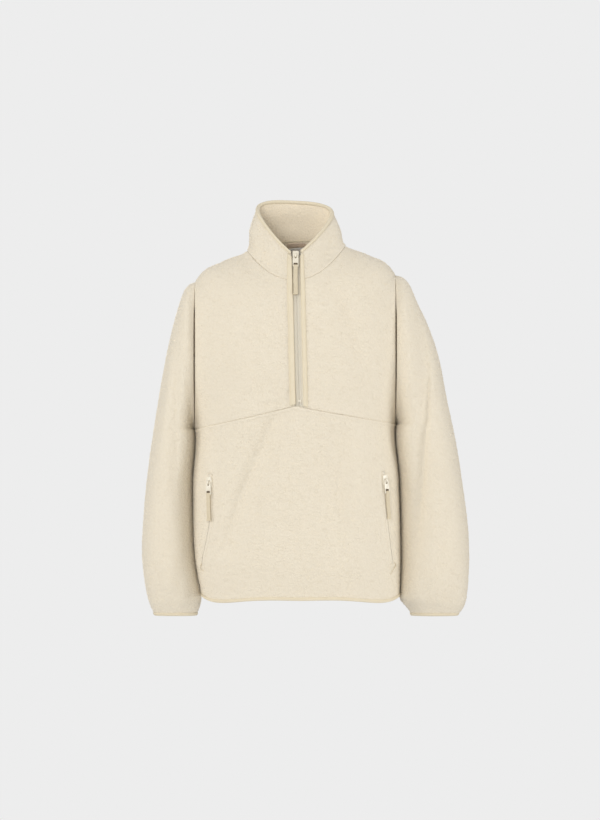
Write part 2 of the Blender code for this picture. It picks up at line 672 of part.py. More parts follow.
def make_pull(name):
    """The tab, whose upper bar turns under the bridge, and the ribbon through its slot."""
    hinge, down, out = make_slider(name)
    holder = bpy.data.objects.new(f"{name}_hinge", None)
    holder.location = Vector(hinge) * MM
    bpy.context.scene.collection.objects.link(holder)
    tab, ribbon, end = TAB, RIBBON, PULLS[name].ribbon_end
    frame = (np.zeros(3), down, out)
    across = (-tab["half_width"], -tab["half_slot"], -tab["half_eye"], tab["half_eye"],
              tab["half_slot"], tab["half_width"])
    along = (-tab["half_thick"], tab["half_thick"], tab["eye_end"], tab["slot_start"],
             tab["slot_end"], tab["end"])

    def in_tab(i, j, k):
        return not ((j == 1 and i == 2) or (j == 3 and i in (1, 2, 3)))

    made = [cells(f"{name}_tab", frame, across, along, (-tab["half_thick"], tab["half_thick"]),
                  in_tab, "zip_metal")]
    inside, outside = ribbon["half_clear"], ribbon["half_clear"] + ribbon["thick"]
    bar = end - ribbon["bar"]
    along = (ribbon["fold"], ribbon["fold"] + ribbon["thick"], ribbon["loop_end"],
             ribbon["flat"], bar - ribbon["bar_step"], bar, end)

    def in_ribbon(i, j, k):
        return j in (0, 5) or k != 1

    def shape(u, v, w):
        if v >= bar:
            return u * ribbon["bar_wide"], v, w * ribbon["bar_scale"]
        part = (v - along[2]) / (ribbon["flat"] - along[2])
        return u, v, w * (1 - (1 - ribbon["squeeze"]) * min(max(part, 0.0), 1.0))

    made.append(cells(f"{name}_ribbon", frame, (-ribbon["half_width"], ribbon["half_width"]),
                      along, (-outside, -inside, inside, outside), in_ribbon, "ribbon", shape,
                      bevel=0.0))
    for piece in made:
        piece.parent = holder


def make_pocket_zip(side):
    route = POCKET_ROUTES[side]
    Spot = namedtuple("Spot", "x z")
    spots = [Spot(*point) for point in route]
    places = []
    for i in range(POCKET_STATIONS):
        spot = through_rows(spots, (len(spots) - 1) * i / (POCKET_STATIONS - 1))
        places.append(at_x(front_level(spot.x, spot.z), spot.x))
    stations = []
    for i, (point, normal) in enumerate(places):
        ahead = places[min(i + 1, len(places) - 1)][0] - places[max(i - 1, 0)][0]
        stations.append((point, normal, unit(np.cross(ahead, normal))))
    half, low, top = POCKET_ZIP_HALF, SEAM_GAP, POCKET_ZIP_TOP
    sweep(f"pocket_zip_{side}", stations, ((low, -half), (low, half), (top, half), (top, -half)),
          "zip_tape")


def make_inside_strip(name):
    strip = INSIDE_STRIPS[name]
    points, normals = [], []
    for level in np.linspace(strip.low_level, strip.high_level, STRIP_POINTS):
        places = [at_x(level, strip.middle_x + strip.half_width * share, "back")
                  for share in np.linspace(1.0, -1.0, STRIP_POINTS)]
        points.append([point - (FLEECE + 2 * SEAM_GAP) * normal for point, normal in places])
        normals.append([normal for _, normal in places])
    wall(name, points, normals, strip.thick, strip.finish)


def main():
    for existing in list(bpy.data.objects):
        bpy.data.objects.remove(existing, do_unlink=True)
    make_panels()
    for side in ("left", "right"):
        make_sleeve(side)
        make_pocket_zip(side)
    make_edge_bindings()
    make_front_zip()
    for name in PULLS:
        make_pull(name)
    for name in INSIDE_STRIPS:
        make_inside_strip(name)


main()
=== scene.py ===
import json
import math
import bpy
import bmesh
import numpy as np
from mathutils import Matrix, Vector


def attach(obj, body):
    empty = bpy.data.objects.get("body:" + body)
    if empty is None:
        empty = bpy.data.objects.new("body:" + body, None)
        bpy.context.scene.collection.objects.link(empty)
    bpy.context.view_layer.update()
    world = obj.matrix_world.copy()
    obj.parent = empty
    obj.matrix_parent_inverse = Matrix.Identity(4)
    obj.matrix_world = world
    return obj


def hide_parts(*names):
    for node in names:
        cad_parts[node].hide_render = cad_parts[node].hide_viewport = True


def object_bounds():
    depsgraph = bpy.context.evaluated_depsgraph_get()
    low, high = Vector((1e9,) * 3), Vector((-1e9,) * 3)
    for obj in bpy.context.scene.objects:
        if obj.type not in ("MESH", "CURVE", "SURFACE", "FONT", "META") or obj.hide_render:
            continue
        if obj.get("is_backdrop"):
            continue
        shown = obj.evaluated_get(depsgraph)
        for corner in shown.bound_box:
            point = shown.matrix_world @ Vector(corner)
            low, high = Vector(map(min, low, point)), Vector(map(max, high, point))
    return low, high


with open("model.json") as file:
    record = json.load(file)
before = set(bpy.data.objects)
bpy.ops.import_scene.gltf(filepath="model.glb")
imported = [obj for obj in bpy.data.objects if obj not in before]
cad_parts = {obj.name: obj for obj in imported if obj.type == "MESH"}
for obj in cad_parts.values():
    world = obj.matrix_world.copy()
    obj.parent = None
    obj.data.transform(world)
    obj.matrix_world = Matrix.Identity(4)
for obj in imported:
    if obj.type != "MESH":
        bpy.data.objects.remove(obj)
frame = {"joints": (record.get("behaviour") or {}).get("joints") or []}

for name in ("Cube", "Light", "Camera"):  # what a new file starts with
    if name in bpy.data.objects:
        bpy.data.objects.remove(bpy.data.objects[name])
bpy.context.view_layer.update()
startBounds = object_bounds()
mm = 0.001

# The same cut as the solids, so that each cloth shell lies on its own solid.
# Levels go up the body: 0 hem, 3 chest seam and armpit, 5 shoulder, 7 neck seam, 9 collar top.
# midX halfX sideY sideZ frontY frontZ backY backZ tilt rake, powers front back, bows
bodyRings = np.array((
    (4.0, 184, 0, -636, -106, -642, 100, -642, .000, .00, .58, .58, .62, .62, 1.2, 1.2),
    (-1.5, 191, 0, -560, -119, -560, 111, -560, .008, .00, .58, .58, .62, .62, 1.2, 1.2),
    (-4.5, 191, 2, -430, -123, -415, 117, -430, .018, .00, .60, .60, .64, .64, 1.0, 1.2),
    (-6.0, 186, 5, -326, -125, -288, 119, -326, .027, .00, .66, .66, .70, .70, 0.9, 1.2),
    (-6.0, 213, 5, -190, -123, -213, 115, -190, .032, .00, .74, .74, .76, .76, 1.4, 1.2),
    (-6.0, 186, 5, -48, -115, -138, 99, -62, .037, .00, .88, .83, .88, .83, 1.8, 1.6),
    (-5.0, 136, 6, -14, -105, -92, 82, -12, .042, .00, .98, .88, .90, .83, 2.0, 1.8),
    (-4.0, 92, 8, 5, -93, -56, 62, 20, .048, .00, 1.25, 1.0, .80, .75, 2.1, 2.0),
    (-6.5, 84, 14, 41, -84, -16, 60, 49, .000, .18, 1.50, 1.0, .68, .68, 1.6, 2.5),
    (-7.0, 70, 20, 76, -71, 23, 56, 79, -.050, .35, 1.60, 1.0, .58, .64, 1.2, 3.0)))

# outerX outerZ innerX innerZ midY halfY, from the armhole to the cuff
sleeveRings = {
    "left": np.array((
        (192.3, -55.5, 192.3, -331, 5, 76), (204, -67, 195.3, -333, 4, 86),
        (215, -84, 196.8, -335.5, 3, 90), (228, -122, 197.6, -339, 2, 92),
        (240, -170, 198, -345, 1, 91), (251, -225, 198.4, -357, 0, 89),
        (262, -290, 198.8, -378, -1, 86), (273, -360, 199.2, -408, -3, 82),
        (282, -430, 199.6, -450, -5, 77), (288, -500, 199.6, -505, -8, 71),
        (290.5, -560, 198.4, -558, -10, 65), (286, -610, 194, -603, -12, 58),
        (279, -647, 185, -640, -13, 47), (272, -666, 184.5, -660, -13, 36),
        (267, -676.5, 189.5, -676.5, -13, 28))),
    "right": np.array((
        (180.3, -41.5, 180.3, -321, 5, 76), (194, -52, 183.3, -323, 3, 86),
        (207, -68, 184.8, -325.5, 1, 91), (222, -100, 185.8, -329, -2, 94),
        (242, -143, 186.8, -335, -4, 94), (261, -202, 187.8, -348, -6, 92),
        (275, -275, 189, -370, -8, 88), (291, -350, 190.4, -402, -10, 83),
        (303, -425, 191.8, -447, -12, 77), (313, -500, 193, -505, -14, 71),
        (316.5, -560, 193.6, -560, -16, 65), (315, -612, 193, -606, -17, 58),
        (311, -648, 194, -642, -18, 47), (304, -666, 202, -661, -18, 36),
        (294.5, -676.5, 209.8, -676.5, -18, 28)))}

# Soft folds: face, depth (below nothing it is a ridge), widths on the left and the right of
# the line, and the line's points as x, z and share of the depth
bodyFolds = (
    ("front", 7.5, 24, 31, ((-30, -282, .5), (-52, -320, .9), (-101, -438, 1), (-132, -538, .8),
                            (-140, -575, .2))),
    ("front", 5.0, 30, 22, ((82, -322, .4), (80, -346, .9), (69, -461, 1), (80, -564, .7))),
    ("front", 5.2, 20, 25, ((58, -54, .3), (70, -84, .9), (92, -148, 1), (127, -263, .8))),
    ("front", 2.0, 12, 16, ((-150, -120, .0), (-138, -190, 1), (-124, -262, .4))),
    ("front", -2.2, 22, 26, ((-20, -330, .3), (-36, -420, 1), (-48, -520, .6), (-50, -590, .1))),
    ("front", -2.4, 20, 24, ((120, -350, .2), (118, -430, 1), (124, -520, .5))),
    ("front", 1.3, 5, 7, ((-106, -262, .0), (-84, -268, 1), (-52, -266, .9), (-24, -272, .1))),
    ("front", 1.5, 6, 5, ((-98, -280, .0), (-76, -285, .9), (-44, -284, 1), (-18, -279, .1))),
    ("front", 1.0, 6, 5, ((-88, -246, .0), (-60, -250, 1), (-34, -249, .1))),
    ("front", 1.2, 6, 6, ((28, -270, .0), (52, -276, 1), (84, -284, .2))),
    ("front", 1.6, 9, 12, ((20, -330, .0), (34, -384, 1), (30, -452, .2))),
    ("front", 1.5, 12, 9, ((-10, -470, .0), (-4, -530, 1), (6, -596, .3))),
    ("front", 2.0, 10, 14, ((-166, -340, .1), (-150, -392, .9), (-146, -440, .2))),
    ("front", 1.8, 12, 9, ((150, -345, .1), (138, -388, .9), (136, -430, .1))),
    ("front", 1.3, 8, 10, ((-176, -360, .1), (-180, -420, 1), (-178, -520, .8), (-172, -590, .2))),
    ("front", 1.6, 10, 8, ((110, -560, .1), (96, -604, 1), (92, -632, .4))),
    ("front", 3.0, 9, 15, ((-30, -282, .1), (-52, -320, .8), (-101, -438, 1), (-132, -538, .9),
                           (-146, -585, .1))),
    ("front", 2.2, 14, 8, ((82, -322, .1), (80, -346, .8), (69, -461, 1), (80, -564, .5),
                           (92, -610, .1))),
    ("front", 2.6, 8, 13, ((58, -54, .1), (70, -84, .9), (92, -148, 1), (127, -263, .5))),
    ("back", 7.0, 26, 30, ((-22, -150, .3), (-44, -220, .8), (-88, -330, 1), (-120, -520, .9),
                           (-126, -590, .2))),
    ("back", 6.0, 24, 28, ((40, -215, .3), (54, -260, .8), (82, -400, 1), (70, -560, .7))),
    ("back", 4.0, 19, 22, ((124, -130, .4), (112, -190, .9), (96, -250, 1), (104, -330, .5))),
    ("back", -2.4, 24, 20, ((-30, -360, .2), (-24, -450, 1), (-40, -570, .3))),
    ("back", 1.8, 10, 13, ((-140, -250, .0), (-128, -320, 1), (-138, -400, .2))),
    ("back", 1.5, 10, 12, ((10, -500, .0), (18, -560, 1), (10, -618, .3))),
    ("back", 1.4, 7, 9, ((-60, -104, .0), (-20, -112, 1), (34, -108, .2))),
    ("back", 1.6, 11, 9, ((140, -420, .1), (146, -500, 1), (138, -590, .2))),
)
sleeveFolds = {
    "left": (
        ("front", 5.0, 14, 17, ((218, -96, .6), (224, -150, 1), (226, -220, .9), (231, -380, .7),
                                (234, -470, .1))),
        ("front", 2.0, 12, 10, ((262, -392, .1), (258, -440, 1), (240, -520, .2))),
        ("front", 3.4, 7, 10, ((220, -110, .2), (226, -220, 1), (231, -380, .8), (234, -450, .1))),
        ("front", -4.0, 20, 15, ((238, -180, .2), (256, -290, .9), (270, -430, 1), (276, -560, .9),
                                 (270, -630, .2))),
        ("front", 2.4, 9, 12, ((214, -560, .1), (222, -606, 1), (230, -650, .5))),
        ("front", 1.6, 8, 8, ((262, -590, .1), (256, -630, 1), (250, -664, .4))),
        ("front", -1.8, 15, 14, ((248, -250, .1), (254, -330, 1), (262, -440, .2))),
        ("back", 7.0, 17, 20, ((222, -120, .8), (238, -300, 1), (240, -500, .7))),
        ("back", 2.2, 10, 12, ((258, -420, .1), (252, -500, 1), (244, -580, .2))),
        ("back", 2.4, 9, 10, ((226, -570, .1), (232, -620, 1), (228, -660, .4)))),
    "right": (
        ("front", 9.0, 18, 22, ((202, -62, .7), (216, -100, .9), (230, -148, 1), (238, -226, 1),
                                (236, -357, 1), (228, -475, .9), (216, -580, .3))),
        ("front", 2.6, 11, 15, ((282, -470, .1), (270, -530, 1), (246, -596, .3))),
        ("front", 8.0, 24, 6, ((204, -66, .5), (216, -100, .9), (230, -148, 1), (238, -226, 1),
                               (236, -357, 1), (228, -475, .8), (218, -570, .1))),
        ("front", -6.0, 22, 16, ((262, -160, .2), (280, -270, .9), (296, -400, 1), (300, -560, .9),
                                 (296, -630, .2))),
        ("front", 2.4, 9, 12, ((222, -580, .1), (234, -620, 1), (246, -658, .5))),
        ("front", 1.7, 8, 9, ((296, -560, .1), (288, -620, 1), (276, -662, .4))),
        ("front", -2.2, 16, 18, ((256, -180, .2), (270, -290, 1), (278, -400, .3))),
        ("back", 7.0, 17, 20, ((226, -120, .8), (246, -300, 1), (250, -520, .7))),
        ("back", 2.4, 10, 13, ((284, -440, .1), (274, -520, 1), (256, -600, .2))),
        ("back", 2.2, 9, 10, ((240, -580, .1), (250, -625, 1), (258, -660, .4)))),
}

cloth = {"wall": 3.0, "seamGap": 0.15, "step": 2.7, "innerEvery": 3, "lumps": 0.20,
         "edgeRoll": 1.0, "edgeWidth": 4.0}  # the inner wall keeps one point in innerEvery
bodyShape = {"hemDip": 9.0, "hemDrop": 3.6, "collarRise": 3.2, "foldGain": 1.25,
             "shoulderDrop": {"left": 4.0, "right": 5.0}, "shoulderLevel": 5.15,
             "shoulderSpan": 0.38, "armholeHalf": 186.0}
sleeveShape = {"armholeFade": 3.0, "armpitEase": 1.2, "swell": 3.4, "swellRow": 0.9,
               "swellSpan": 1.2, "sideGap": 0.35, "sideMost": 16.0, "hangsFrom": -316.0,
               "hangsTo": -668.0, "columns": 150}
zipLine = {"topX": -5.0, "topZ": -3.0, "endX": 2.0, "endZ": -285.0, "panelEdge": 9.0}
signOf = {"left": -1, "right": 1}


# curves and surfaces, all on whole arrays at once

def throughRows(table, position):
    rows = np.vstack([2 * table[0] - table[1], table, 2 * table[-1] - table[-2]])
    position = np.clip(np.asarray(position, float), 0, len(table) - 1)
    index = np.minimum(position.astype(int), len(table) - 2)
    part = (position - index)[..., None]
    before, here, there, after = (rows[index + k] for k in range(4))
    bend = 2 * before - 5 * here + 4 * there - after
    twist = 3 * here - before - 3 * there + after
    return here + .5 * part * ((there - before) + part * (bend + part * twist))


def lineDistance(x, z, points):
    # distance to a line, the side it lies on, and the third column's value beside it
    nearest = np.full(np.shape(x), 1e9)
    side = np.zeros(np.shape(x))
    value = np.zeros(np.shape(x))
    for start, end in zip(points, points[1:]):
        wayX, wayZ = end[0] - start[0], end[1] - start[1]
        length = wayX ** 2 + wayZ ** 2
        part = np.clip(((x - start[0]) * wayX + (z - start[1]) * wayZ) / length, 0, 1)
        offX, offZ = x - start[0] - part * wayX, z - start[1] - part * wayZ
        away = np.hypot(offX, offZ)
        closer = away < nearest
        nearest = np.where(closer, away, nearest)
        side = np.where(closer, np.sign(wayX * offZ - wayZ * offX), side)
        value = np.where(closer, start[-1] + part * (end[-1] - start[-1]), value)
    return nearest, side, value


def foldDepth(folds, face, x, z):
    total = np.zeros(np.shape(x))
    for onFace, depth, leftWidth, rightWidth, points in folds:
        if onFace == face:
            away, side, share = lineDistance(x, z, points)
            width = np.where(side > 0, rightWidth, leftWidth)
            total += depth * share * np.exp(-(away / width) ** 2)
    return total


sideGaps = {}


def sideWindow(z):
    # where the sleeve hangs against the body
    top, bottom = sleeveShape["hangsFrom"], sleeveShape["hangsTo"]
    return np.clip((top - z) / 8, 0, 1) * np.clip((z - bottom) / 24, 0, 1)


def sideGap(side, z):
    # the room between the sleeve's inner line and the body's side at a height
    if side not in sideGaps:
        sign = signOf[side]
        body = bodySurface(np.linspace(0, 3, 200), np.full(200, 0 if side == "right" else math.pi))
        arm = hungSleeve(side, np.linspace(0, 14, 400), np.full(400, math.pi))
        heights = np.linspace(-650, -312, 170)
        order = np.argsort(arm[:, 2])
        sideGaps[side] = (heights, np.interp(heights, arm[order, 2], sign * arm[order, 0])
                          - np.interp(heights, body[:, 2], sign * body[:, 0]))
    return np.interp(z, *sideGaps[side])


def bodySurface(level, angle):
    level, angle = np.broadcast_arrays(np.asarray(level, float), np.asarray(angle, float))
    (midX, halfX, sideY, sideZ, frontY, frontZ, backY, backZ, tilt, rake, frontPx, frontPy,
     backPx, backPy, frontBow, backBow) = np.moveaxis(throughRows(bodyRings, level), -1, 0)
    front = np.sin(angle) < 0
    across = np.abs(np.cos(angle)) ** np.where(front, frontPx, backPx)
    deep = np.abs(np.sin(angle)) ** np.where(front, frontPy, backPy)
    midY, midZ = np.where(front, frontY, backY), np.where(front, frontZ, backZ)
    x = np.copysign(halfX * across, np.cos(angle))
    y = sideY + (midY - sideY) * deep
    z = midZ + (sideZ - midZ) * across ** np.where(front, frontBow, backBow)
    z = z + tilt * x + rake * (y - sideY)
    z = z - bodyShape["hemDip"] * np.maximum(1 - level, 0) ** 2 * np.sin(2 * angle) ** 2
    z = z - bodyShape["hemDrop"] * np.maximum(1 - level / .7, 0) ** 2
    z = z + bodyShape["collarRise"] * np.clip(level - 8, 0, 1) ** 2 * np.clip(np.sin(angle), 0, 1)
    drop = np.where(x > 0, *(bodyShape["shoulderDrop"][side] for side in ("right", "left")))
    near = (level - bodyShape["shoulderLevel"]) / bodyShape["shoulderSpan"]
    z = z - drop * np.exp(-near ** 2) * across ** 4
    x = x + midX
    fade = np.clip((7.0 - level) / .35, 0, 1) * deep ** 2
    pressed = np.where(front, foldDepth(bodyFolds, "front", x, z),
                       -foldDepth(bodyFolds, "back", x, z))
    return np.stack([x, y + bodyShape["foldGain"] * pressed * fade, z], -1)


def surfaceNormal(surface, u, v, du, dv):
    alongU = surface(u + du, v) - surface(u - du, v)
    alongV = surface(u, v + dv) - surface(u, v - dv)
    normal = np.cross(alongV, alongU)
    return normal / np.linalg.norm(normal, axis=-1, keepdims=True)


def bodyNormal(level, angle):
    return surfaceNormal(bodySurface, np.asarray(level, float), np.asarray(angle, float), .02,
                         math.radians(1.5))


def angleAtX(level, x, face="front"):
    ring = throughRows(bodyRings, level)
    share = np.clip((x - ring[..., 0]) / ring[..., 1], -1, 1)
    power = ring[..., 10] if face == "front" else ring[..., 12]
    turn = np.arccos(np.abs(share) ** (1 / power))
    turn = np.where(share >= 0, turn, math.pi - turn)
    return -turn if face == "front" else turn


def bodyAtX(level, x, face="front"):
    angle = angleAtX(level, x, face)
    return bodySurface(level, angle), bodyNormal(level, angle)


def zipX(level):
    ring = throughRows(bodyRings, np.maximum(level, 3.0))
    z = ring[..., 5] + ring[..., 9] * (ring[..., 4] - ring[..., 2])
    part = (z - zipLine["topZ"]) / (zipLine["endZ"] - zipLine["topZ"])
    return zipLine["topX"] + (zipLine["endX"] - zipLine["topX"]) * np.clip(part, 0, 1)


def frontLevel(x, z):
    low, high = 0.0, 9.0
    for unused in range(30):
        middle = (low + high) / 2
        if bodySurface(middle, angleAtX(middle, x))[2] < z:
            low = middle
        else:
            high = middle
    return (low + high) / 2


def armholeAngle(level, face="front"):
    level = np.asarray(level, float)
    ring = throughRows(bodyRings, level)
    power = ring[..., 10] if face == "front" else ring[..., 12]
    angle = np.arccos(np.minimum(bodyShape["armholeHalf"] / ring[..., 1], 1) ** (1 / power))
    return np.where((level > 3) & (level < 5), angle, 0.0)


def armholePoint(side, turn):
    level = 3 + (1 + np.cos(turn))
    edge = np.where(np.sin(turn) > 0, -armholeAngle(level), armholeAngle(level, "back"))
    return bodySurface(level, edge if side == "right" else math.pi - edge)


def plainSleeve(side, row, turn):
    ring = throughRows(sleeveRings[side], row)
    sign = signOf[side]
    outer = np.stack([sign * ring[..., 0], ring[..., 4], ring[..., 1]], -1)
    inner = np.stack([sign * ring[..., 2], ring[..., 4], ring[..., 3]], -1)
    point = (outer + inner) / 2 + (outer - inner) / 2 * np.cos(turn)[..., None]
    point[..., 1] -= ring[..., 5] * np.sin(turn)
    return point


def hungSleeve(side, row, turn):
    # the plain sleeve, drawn to the armhole's line at its top
    fade = np.maximum(1 - row / sleeveShape["armholeFade"], 0) ** 2
    return plainSleeve(side, row, turn) + fade[..., None] * (
        armholePoint(side, turn) - plainSleeve(side, row * 0, turn))


def sleeveSurface(side, row, turn):
    row, turn = np.broadcast_arrays(np.asarray(row, float), np.asarray(turn, float))
    point = hungSleeve(side, row, turn)
    onTop = ((1 + np.cos(turn)) / 2) ** 2
    near = (row - sleeveShape["swellRow"]) / sleeveShape["swellSpan"]
    swell = sleeveShape["swell"] * np.minimum(row / .5, 1) * np.exp(-near ** 2) * onTop
    point[..., 0] += signOf[side] * swell * .8
    point[..., 2] += swell * .6
    away = np.minimum(row / 2, 1)
    ahead = np.sin(turn) > 0
    x, z = np.abs(point[..., 0]), point[..., 2]
    pressed = np.where(ahead, foldDepth(sleeveFolds[side], "front", x, z),
                       -foldDepth(sleeveFolds[side], "back", x, z))
    point[..., 1] += pressed * away * np.sin(turn) ** 2
    beside = sideWindow(point[..., 2]) * ((1 - np.cos(turn)) / 2) ** 1.2
    room = np.clip(sideGap(side, point[..., 2]) - sleeveShape["sideGap"], 0,
                   sleeveShape["sideMost"])
    point[..., 0] -= signOf[side] * room * beside
    start = np.maximum(1 - row / .06, 0)
    ease = 2 * cloth["seamGap"] + sleeveShape["armpitEase"] * (1 - np.cos(turn)) / 2
    point[..., 0] += signOf[side] * start * ease
    return point


# meshes

def newObject(name, points, faces):
    mesh = bpy.data.meshes.new(name)
    mesh.from_pydata((np.asarray(points) * mm).tolist(), [], faces)
    mesh.validate()
    mesh.shade_smooth()
    made = bpy.data.objects.new(name, mesh)
    bpy.context.scene.collection.objects.link(made)
    return made


def readMesh(items, key, kind=np.int32, width=1):
    values = np.empty(len(items) * width, kind)
    items.foreach_get(key, values)
    return values.reshape(-1, width) if width > 1 else values


def arcSteps(points, axis=0):
    # running length along a line, or along an axis of a grid of points
    step = np.linalg.norm(np.diff(points, axis=axis), axis=-1)
    start = np.zeros_like(np.take(step, [0], axis))
    return np.concatenate([start, np.cumsum(step, axis)], axis)


def shoulderFlat(grid):
    # the armhole seam lies flat over the shoulder, so it counts as far from an edge there
    return np.clip((grid[..., 2] + 112) / 36, 0, 1) * cloth["edgeWidth"]


def edgeAway(grid, edges):
    # distance to the nearest of the named edges of a grid
    down, across = arcSteps(grid, 0), arcSteps(grid, 1)
    flat = shoulderFlat(grid)
    away = {"top": down[-1:] - down, "bottom": down, "first": across + flat,
            "last": across[:, -1:] - across + flat}
    return np.min([away[edge] for edge in edges], axis=0) if edges else down * 0 + 1e3


def spaced(length, step, multiple):
    # shares of a length, closer together at both ends
    place = np.linspace(0, length, 2000)
    dense = (1 + 1.3 * np.exp(-place / 5) + 1.3 * np.exp((place - length) / 5)) / step
    run = np.concatenate([[0], np.cumsum((dense[1:] + dense[:-1]) / 2 * place[1])])
    count = multiple * max(round(run[-1] / multiple), 2)
    return np.interp(np.linspace(0, run[-1], count + 1), run, place) / length


def gridNormals(grid, closed):
    along = np.gradient(grid, axis=0)
    if closed:
        around = np.roll(grid, -1, 1) - np.roll(grid, 1, 1)
    else:
        around = np.gradient(grid, axis=1)
    normal = np.cross(around, along)
    return normal / np.maximum(np.linalg.norm(normal, axis=-1, keepdims=True), 1e-9)


def smoothGrid(values, closed, times):
    for unused in range(times):
        if closed:
            beside = (np.roll(values, 1, 1) + np.roll(values, -1, 1)) / 2
        else:
            padded = np.pad(values, ((0, 0), (1, 1)), mode="edge")
            beside = (padded[:, :-2] + padded[:, 2:]) / 2
        padded = np.pad(values, ((1, 1), (0, 0)), mode="edge")
        values = (values * 2 + beside + (padded[:-2] + padded[2:]) / 2) / 4
    return values


def lumpy(shape, closed, seed):
    # small curls of pile and wider, weaker unevenness
    random = np.random.default_rng(seed)
    fine = random.normal(size=shape)
    wide = smoothGrid(random.normal(size=shape), closed, 6)
    return fine * .55 + smoothGrid(random.normal(size=shape), closed, 1) * .9 + wide * 1.2


def outwardSign(outer, normals, closed):
    # 1 where a grid's normals face away from its middle line, -1 where they face it
    middle = outer.mean(1, keepdims=True) if closed else np.array((-5.0, 0.0, 0.0))
    away = (outer - middle) * ((1, 1, 1) if closed else (1, 1, 0))
    return 1 if (normals * away).sum() > 0 else -1


def clothShell(name, outer, closed=False, edges=(), bumps=None, seed=1, innerEvery=None):
    # outer is a grid of points; the inner wall is coarser and stitched to it at the edges
    every = innerEvery or cloth["innerEvery"]
    normals = gridNormals(outer, closed)
    flip = outwardSign(outer, normals, closed)
    normals = flip * normals
    pressed = np.zeros(outer.shape[:2]) if bumps is None else np.minimum(bumps, 0)
    inner = (outer + (pressed - cloth["wall"])[..., None] * normals)[::every]
    inner = inner[:, ::every]
    away = edgeAway(outer, edges) + (shoulderFlat(outer) if closed else 0)
    roll = np.clip(1 - away / cloth["edgeWidth"], 0, 1)
    lift = -cloth["edgeRoll"] * (1 - np.sqrt(np.maximum(1 - roll ** 2, 0)))
    calm = np.clip(away / 3, .25, 1)
    lift = lift + cloth["lumps"] * calm * lumpy(outer.shape[:2], closed, seed)
    if bumps is not None:
        lift = lift + bumps
    face = outer + normals * lift[..., None]
    rows, columns = face.shape[:2]
    innerRows, innerColumns = inner.shape[:2]
    under = rows * columns
    points = np.vstack([face.reshape(-1, 3), inner.reshape(-1, 3)])
    faces = quads(rows, columns, closed, 0, flip < 0)
    shown = len(faces)
    faces += quads(innerRows, innerColumns, closed, under, flip > 0)
    hidden = len(faces)
    spans = innerColumns if closed else innerColumns - 1

    def rim(outerLine, innerLine, reverse):
        ring = list(outerLine) + list(innerLine)[::-1]
        faces.append(tuple(ring[::-1] if reverse else ring))

    for row, innerRow, reverse in ((0, 0, True), (rows - 1, innerRows - 1, False)):
        for c in range(spans):
            line = [row * columns + (c * every + k) % columns for k in range(every + 1)]
            below = [under + innerRow * innerColumns + (c + k) % innerColumns for k in (0, 1)]
            rim(line, below, reverse != (flip < 0))
    if not closed:
        for column, innerColumn, reverse in ((0, 0, False),
                                             (columns - 1, innerColumns - 1, True)):
            for r in range(innerRows - 1):
                line = [(r * every + k) * columns + column for k in range(every + 1)]
                below = [under + (r + k) * innerColumns + innerColumn for k in (0, 1)]
                rim(line, below, reverse != (flip < 0))
    made = newObject(name, points, faces)
    finish = np.zeros(len(faces), np.int32)
    finish[shown:hidden] = 1
    made.data.polygons.foreach_set("material_index", finish)
    pile = np.zeros(len(points))
    pile[:under] = (np.clip((away - .8) / 2, .0, 1)).reshape(-1)
    weight = made.data.attributes.new("pile", "FLOAT", "POINT")
    weight.data.foreach_set("value", pile.astype(np.float32))
    bakeMap(made, rows, columns, innerRows, innerColumns, closed)
    return made, face


def quads(rows, columns, closed, start, reverse):
    spans = columns if closed else columns - 1
    found = []
    for r in range(rows - 1):
        for c in range(spans):
            d = (c + 1) % columns
            quad = (start + r * columns + c, start + r * columns + d,
                    start + (r + 1) * columns + d, start + (r + 1) * columns + c)
            found.append(quad[::-1] if reverse else quad)
    return found


def bakeMap(made, rows, columns, innerRows, innerColumns, closed):
    # the outer wall on the left of the map, the inner wall on the right, rims in strips between
    mesh = made.data
    layer = mesh.uv_layers.new(name="OFBake")
    vertex = readMesh(mesh.loops, "vertex_index")
    corners = readMesh(mesh.polygons, "loop_total")
    total = len(corners)
    face = np.repeat(np.arange(total), corners)
    under = rows * columns
    isInner = vertex >= under
    u = np.where(isInner, (vertex - under) % innerColumns, vertex % columns).astype(float)
    v = np.where(isInner, (vertex - under) // innerColumns, vertex // columns).astype(float)
    spanOuter, spanInner = (columns, innerColumns) if closed else (columns - 1, innerColumns - 1)
    span = np.where(isInner, spanInner, spanOuter)
    share = u / span
    # a face across the join of a round piece keeps to one side
    low, high = np.full(total, 2.0), np.full(total, -1.0)
    np.minimum.at(low, face, share)
    np.maximum.at(high, face, share)
    wraps = (high - low)[face] > .5
    share = np.where(wraps & (share < .5), share + 1, share)
    up = v / np.where(isInner, innerRows - 1, rows - 1)
    hasOuter, hasInner = np.zeros(total, bool), np.zeros(total, bool)
    np.logical_or.at(hasOuter, face, ~isInner)
    np.logical_or.at(hasInner, face, isInner)
    rim = (hasOuter & hasInner)[face]
    uv = np.empty((len(vertex), 2))
    uv[:, 0] = np.where(isInner, .70 + .27 * share, .01 + .64 * share)
    uv[:, 1] = .04 + .93 * up
    highest, lowest = np.zeros(total), np.ones(total)
    np.maximum.at(highest, face, up)
    np.minimum.at(lowest, face, up)
    onBottom, onTop = (highest == 0)[face], (lowest == 1)[face]
    strip = np.where(isInner, .010, .0)
    uv[rim & onBottom] = np.stack([.01 + .64 * share, .005 + strip], -1)[rim & onBottom]
    uv[rim & onTop] = np.stack([.01 + .64 * share, .980 + strip], -1)[rim & onTop]
    sides = rim & ~onBottom & ~onTop
    left = sides & (share < .5)
    right = sides & (share >= .5)
    uv[left] = np.stack([.655 + strip, .04 + .93 * up], -1)[left]
    uv[right] = np.stack([.675 + strip, .04 + .93 * up], -1)[right]
    layer.data.foreach_set("uv", uv.astype(np.float32).reshape(-1))


# the sheets of cloth

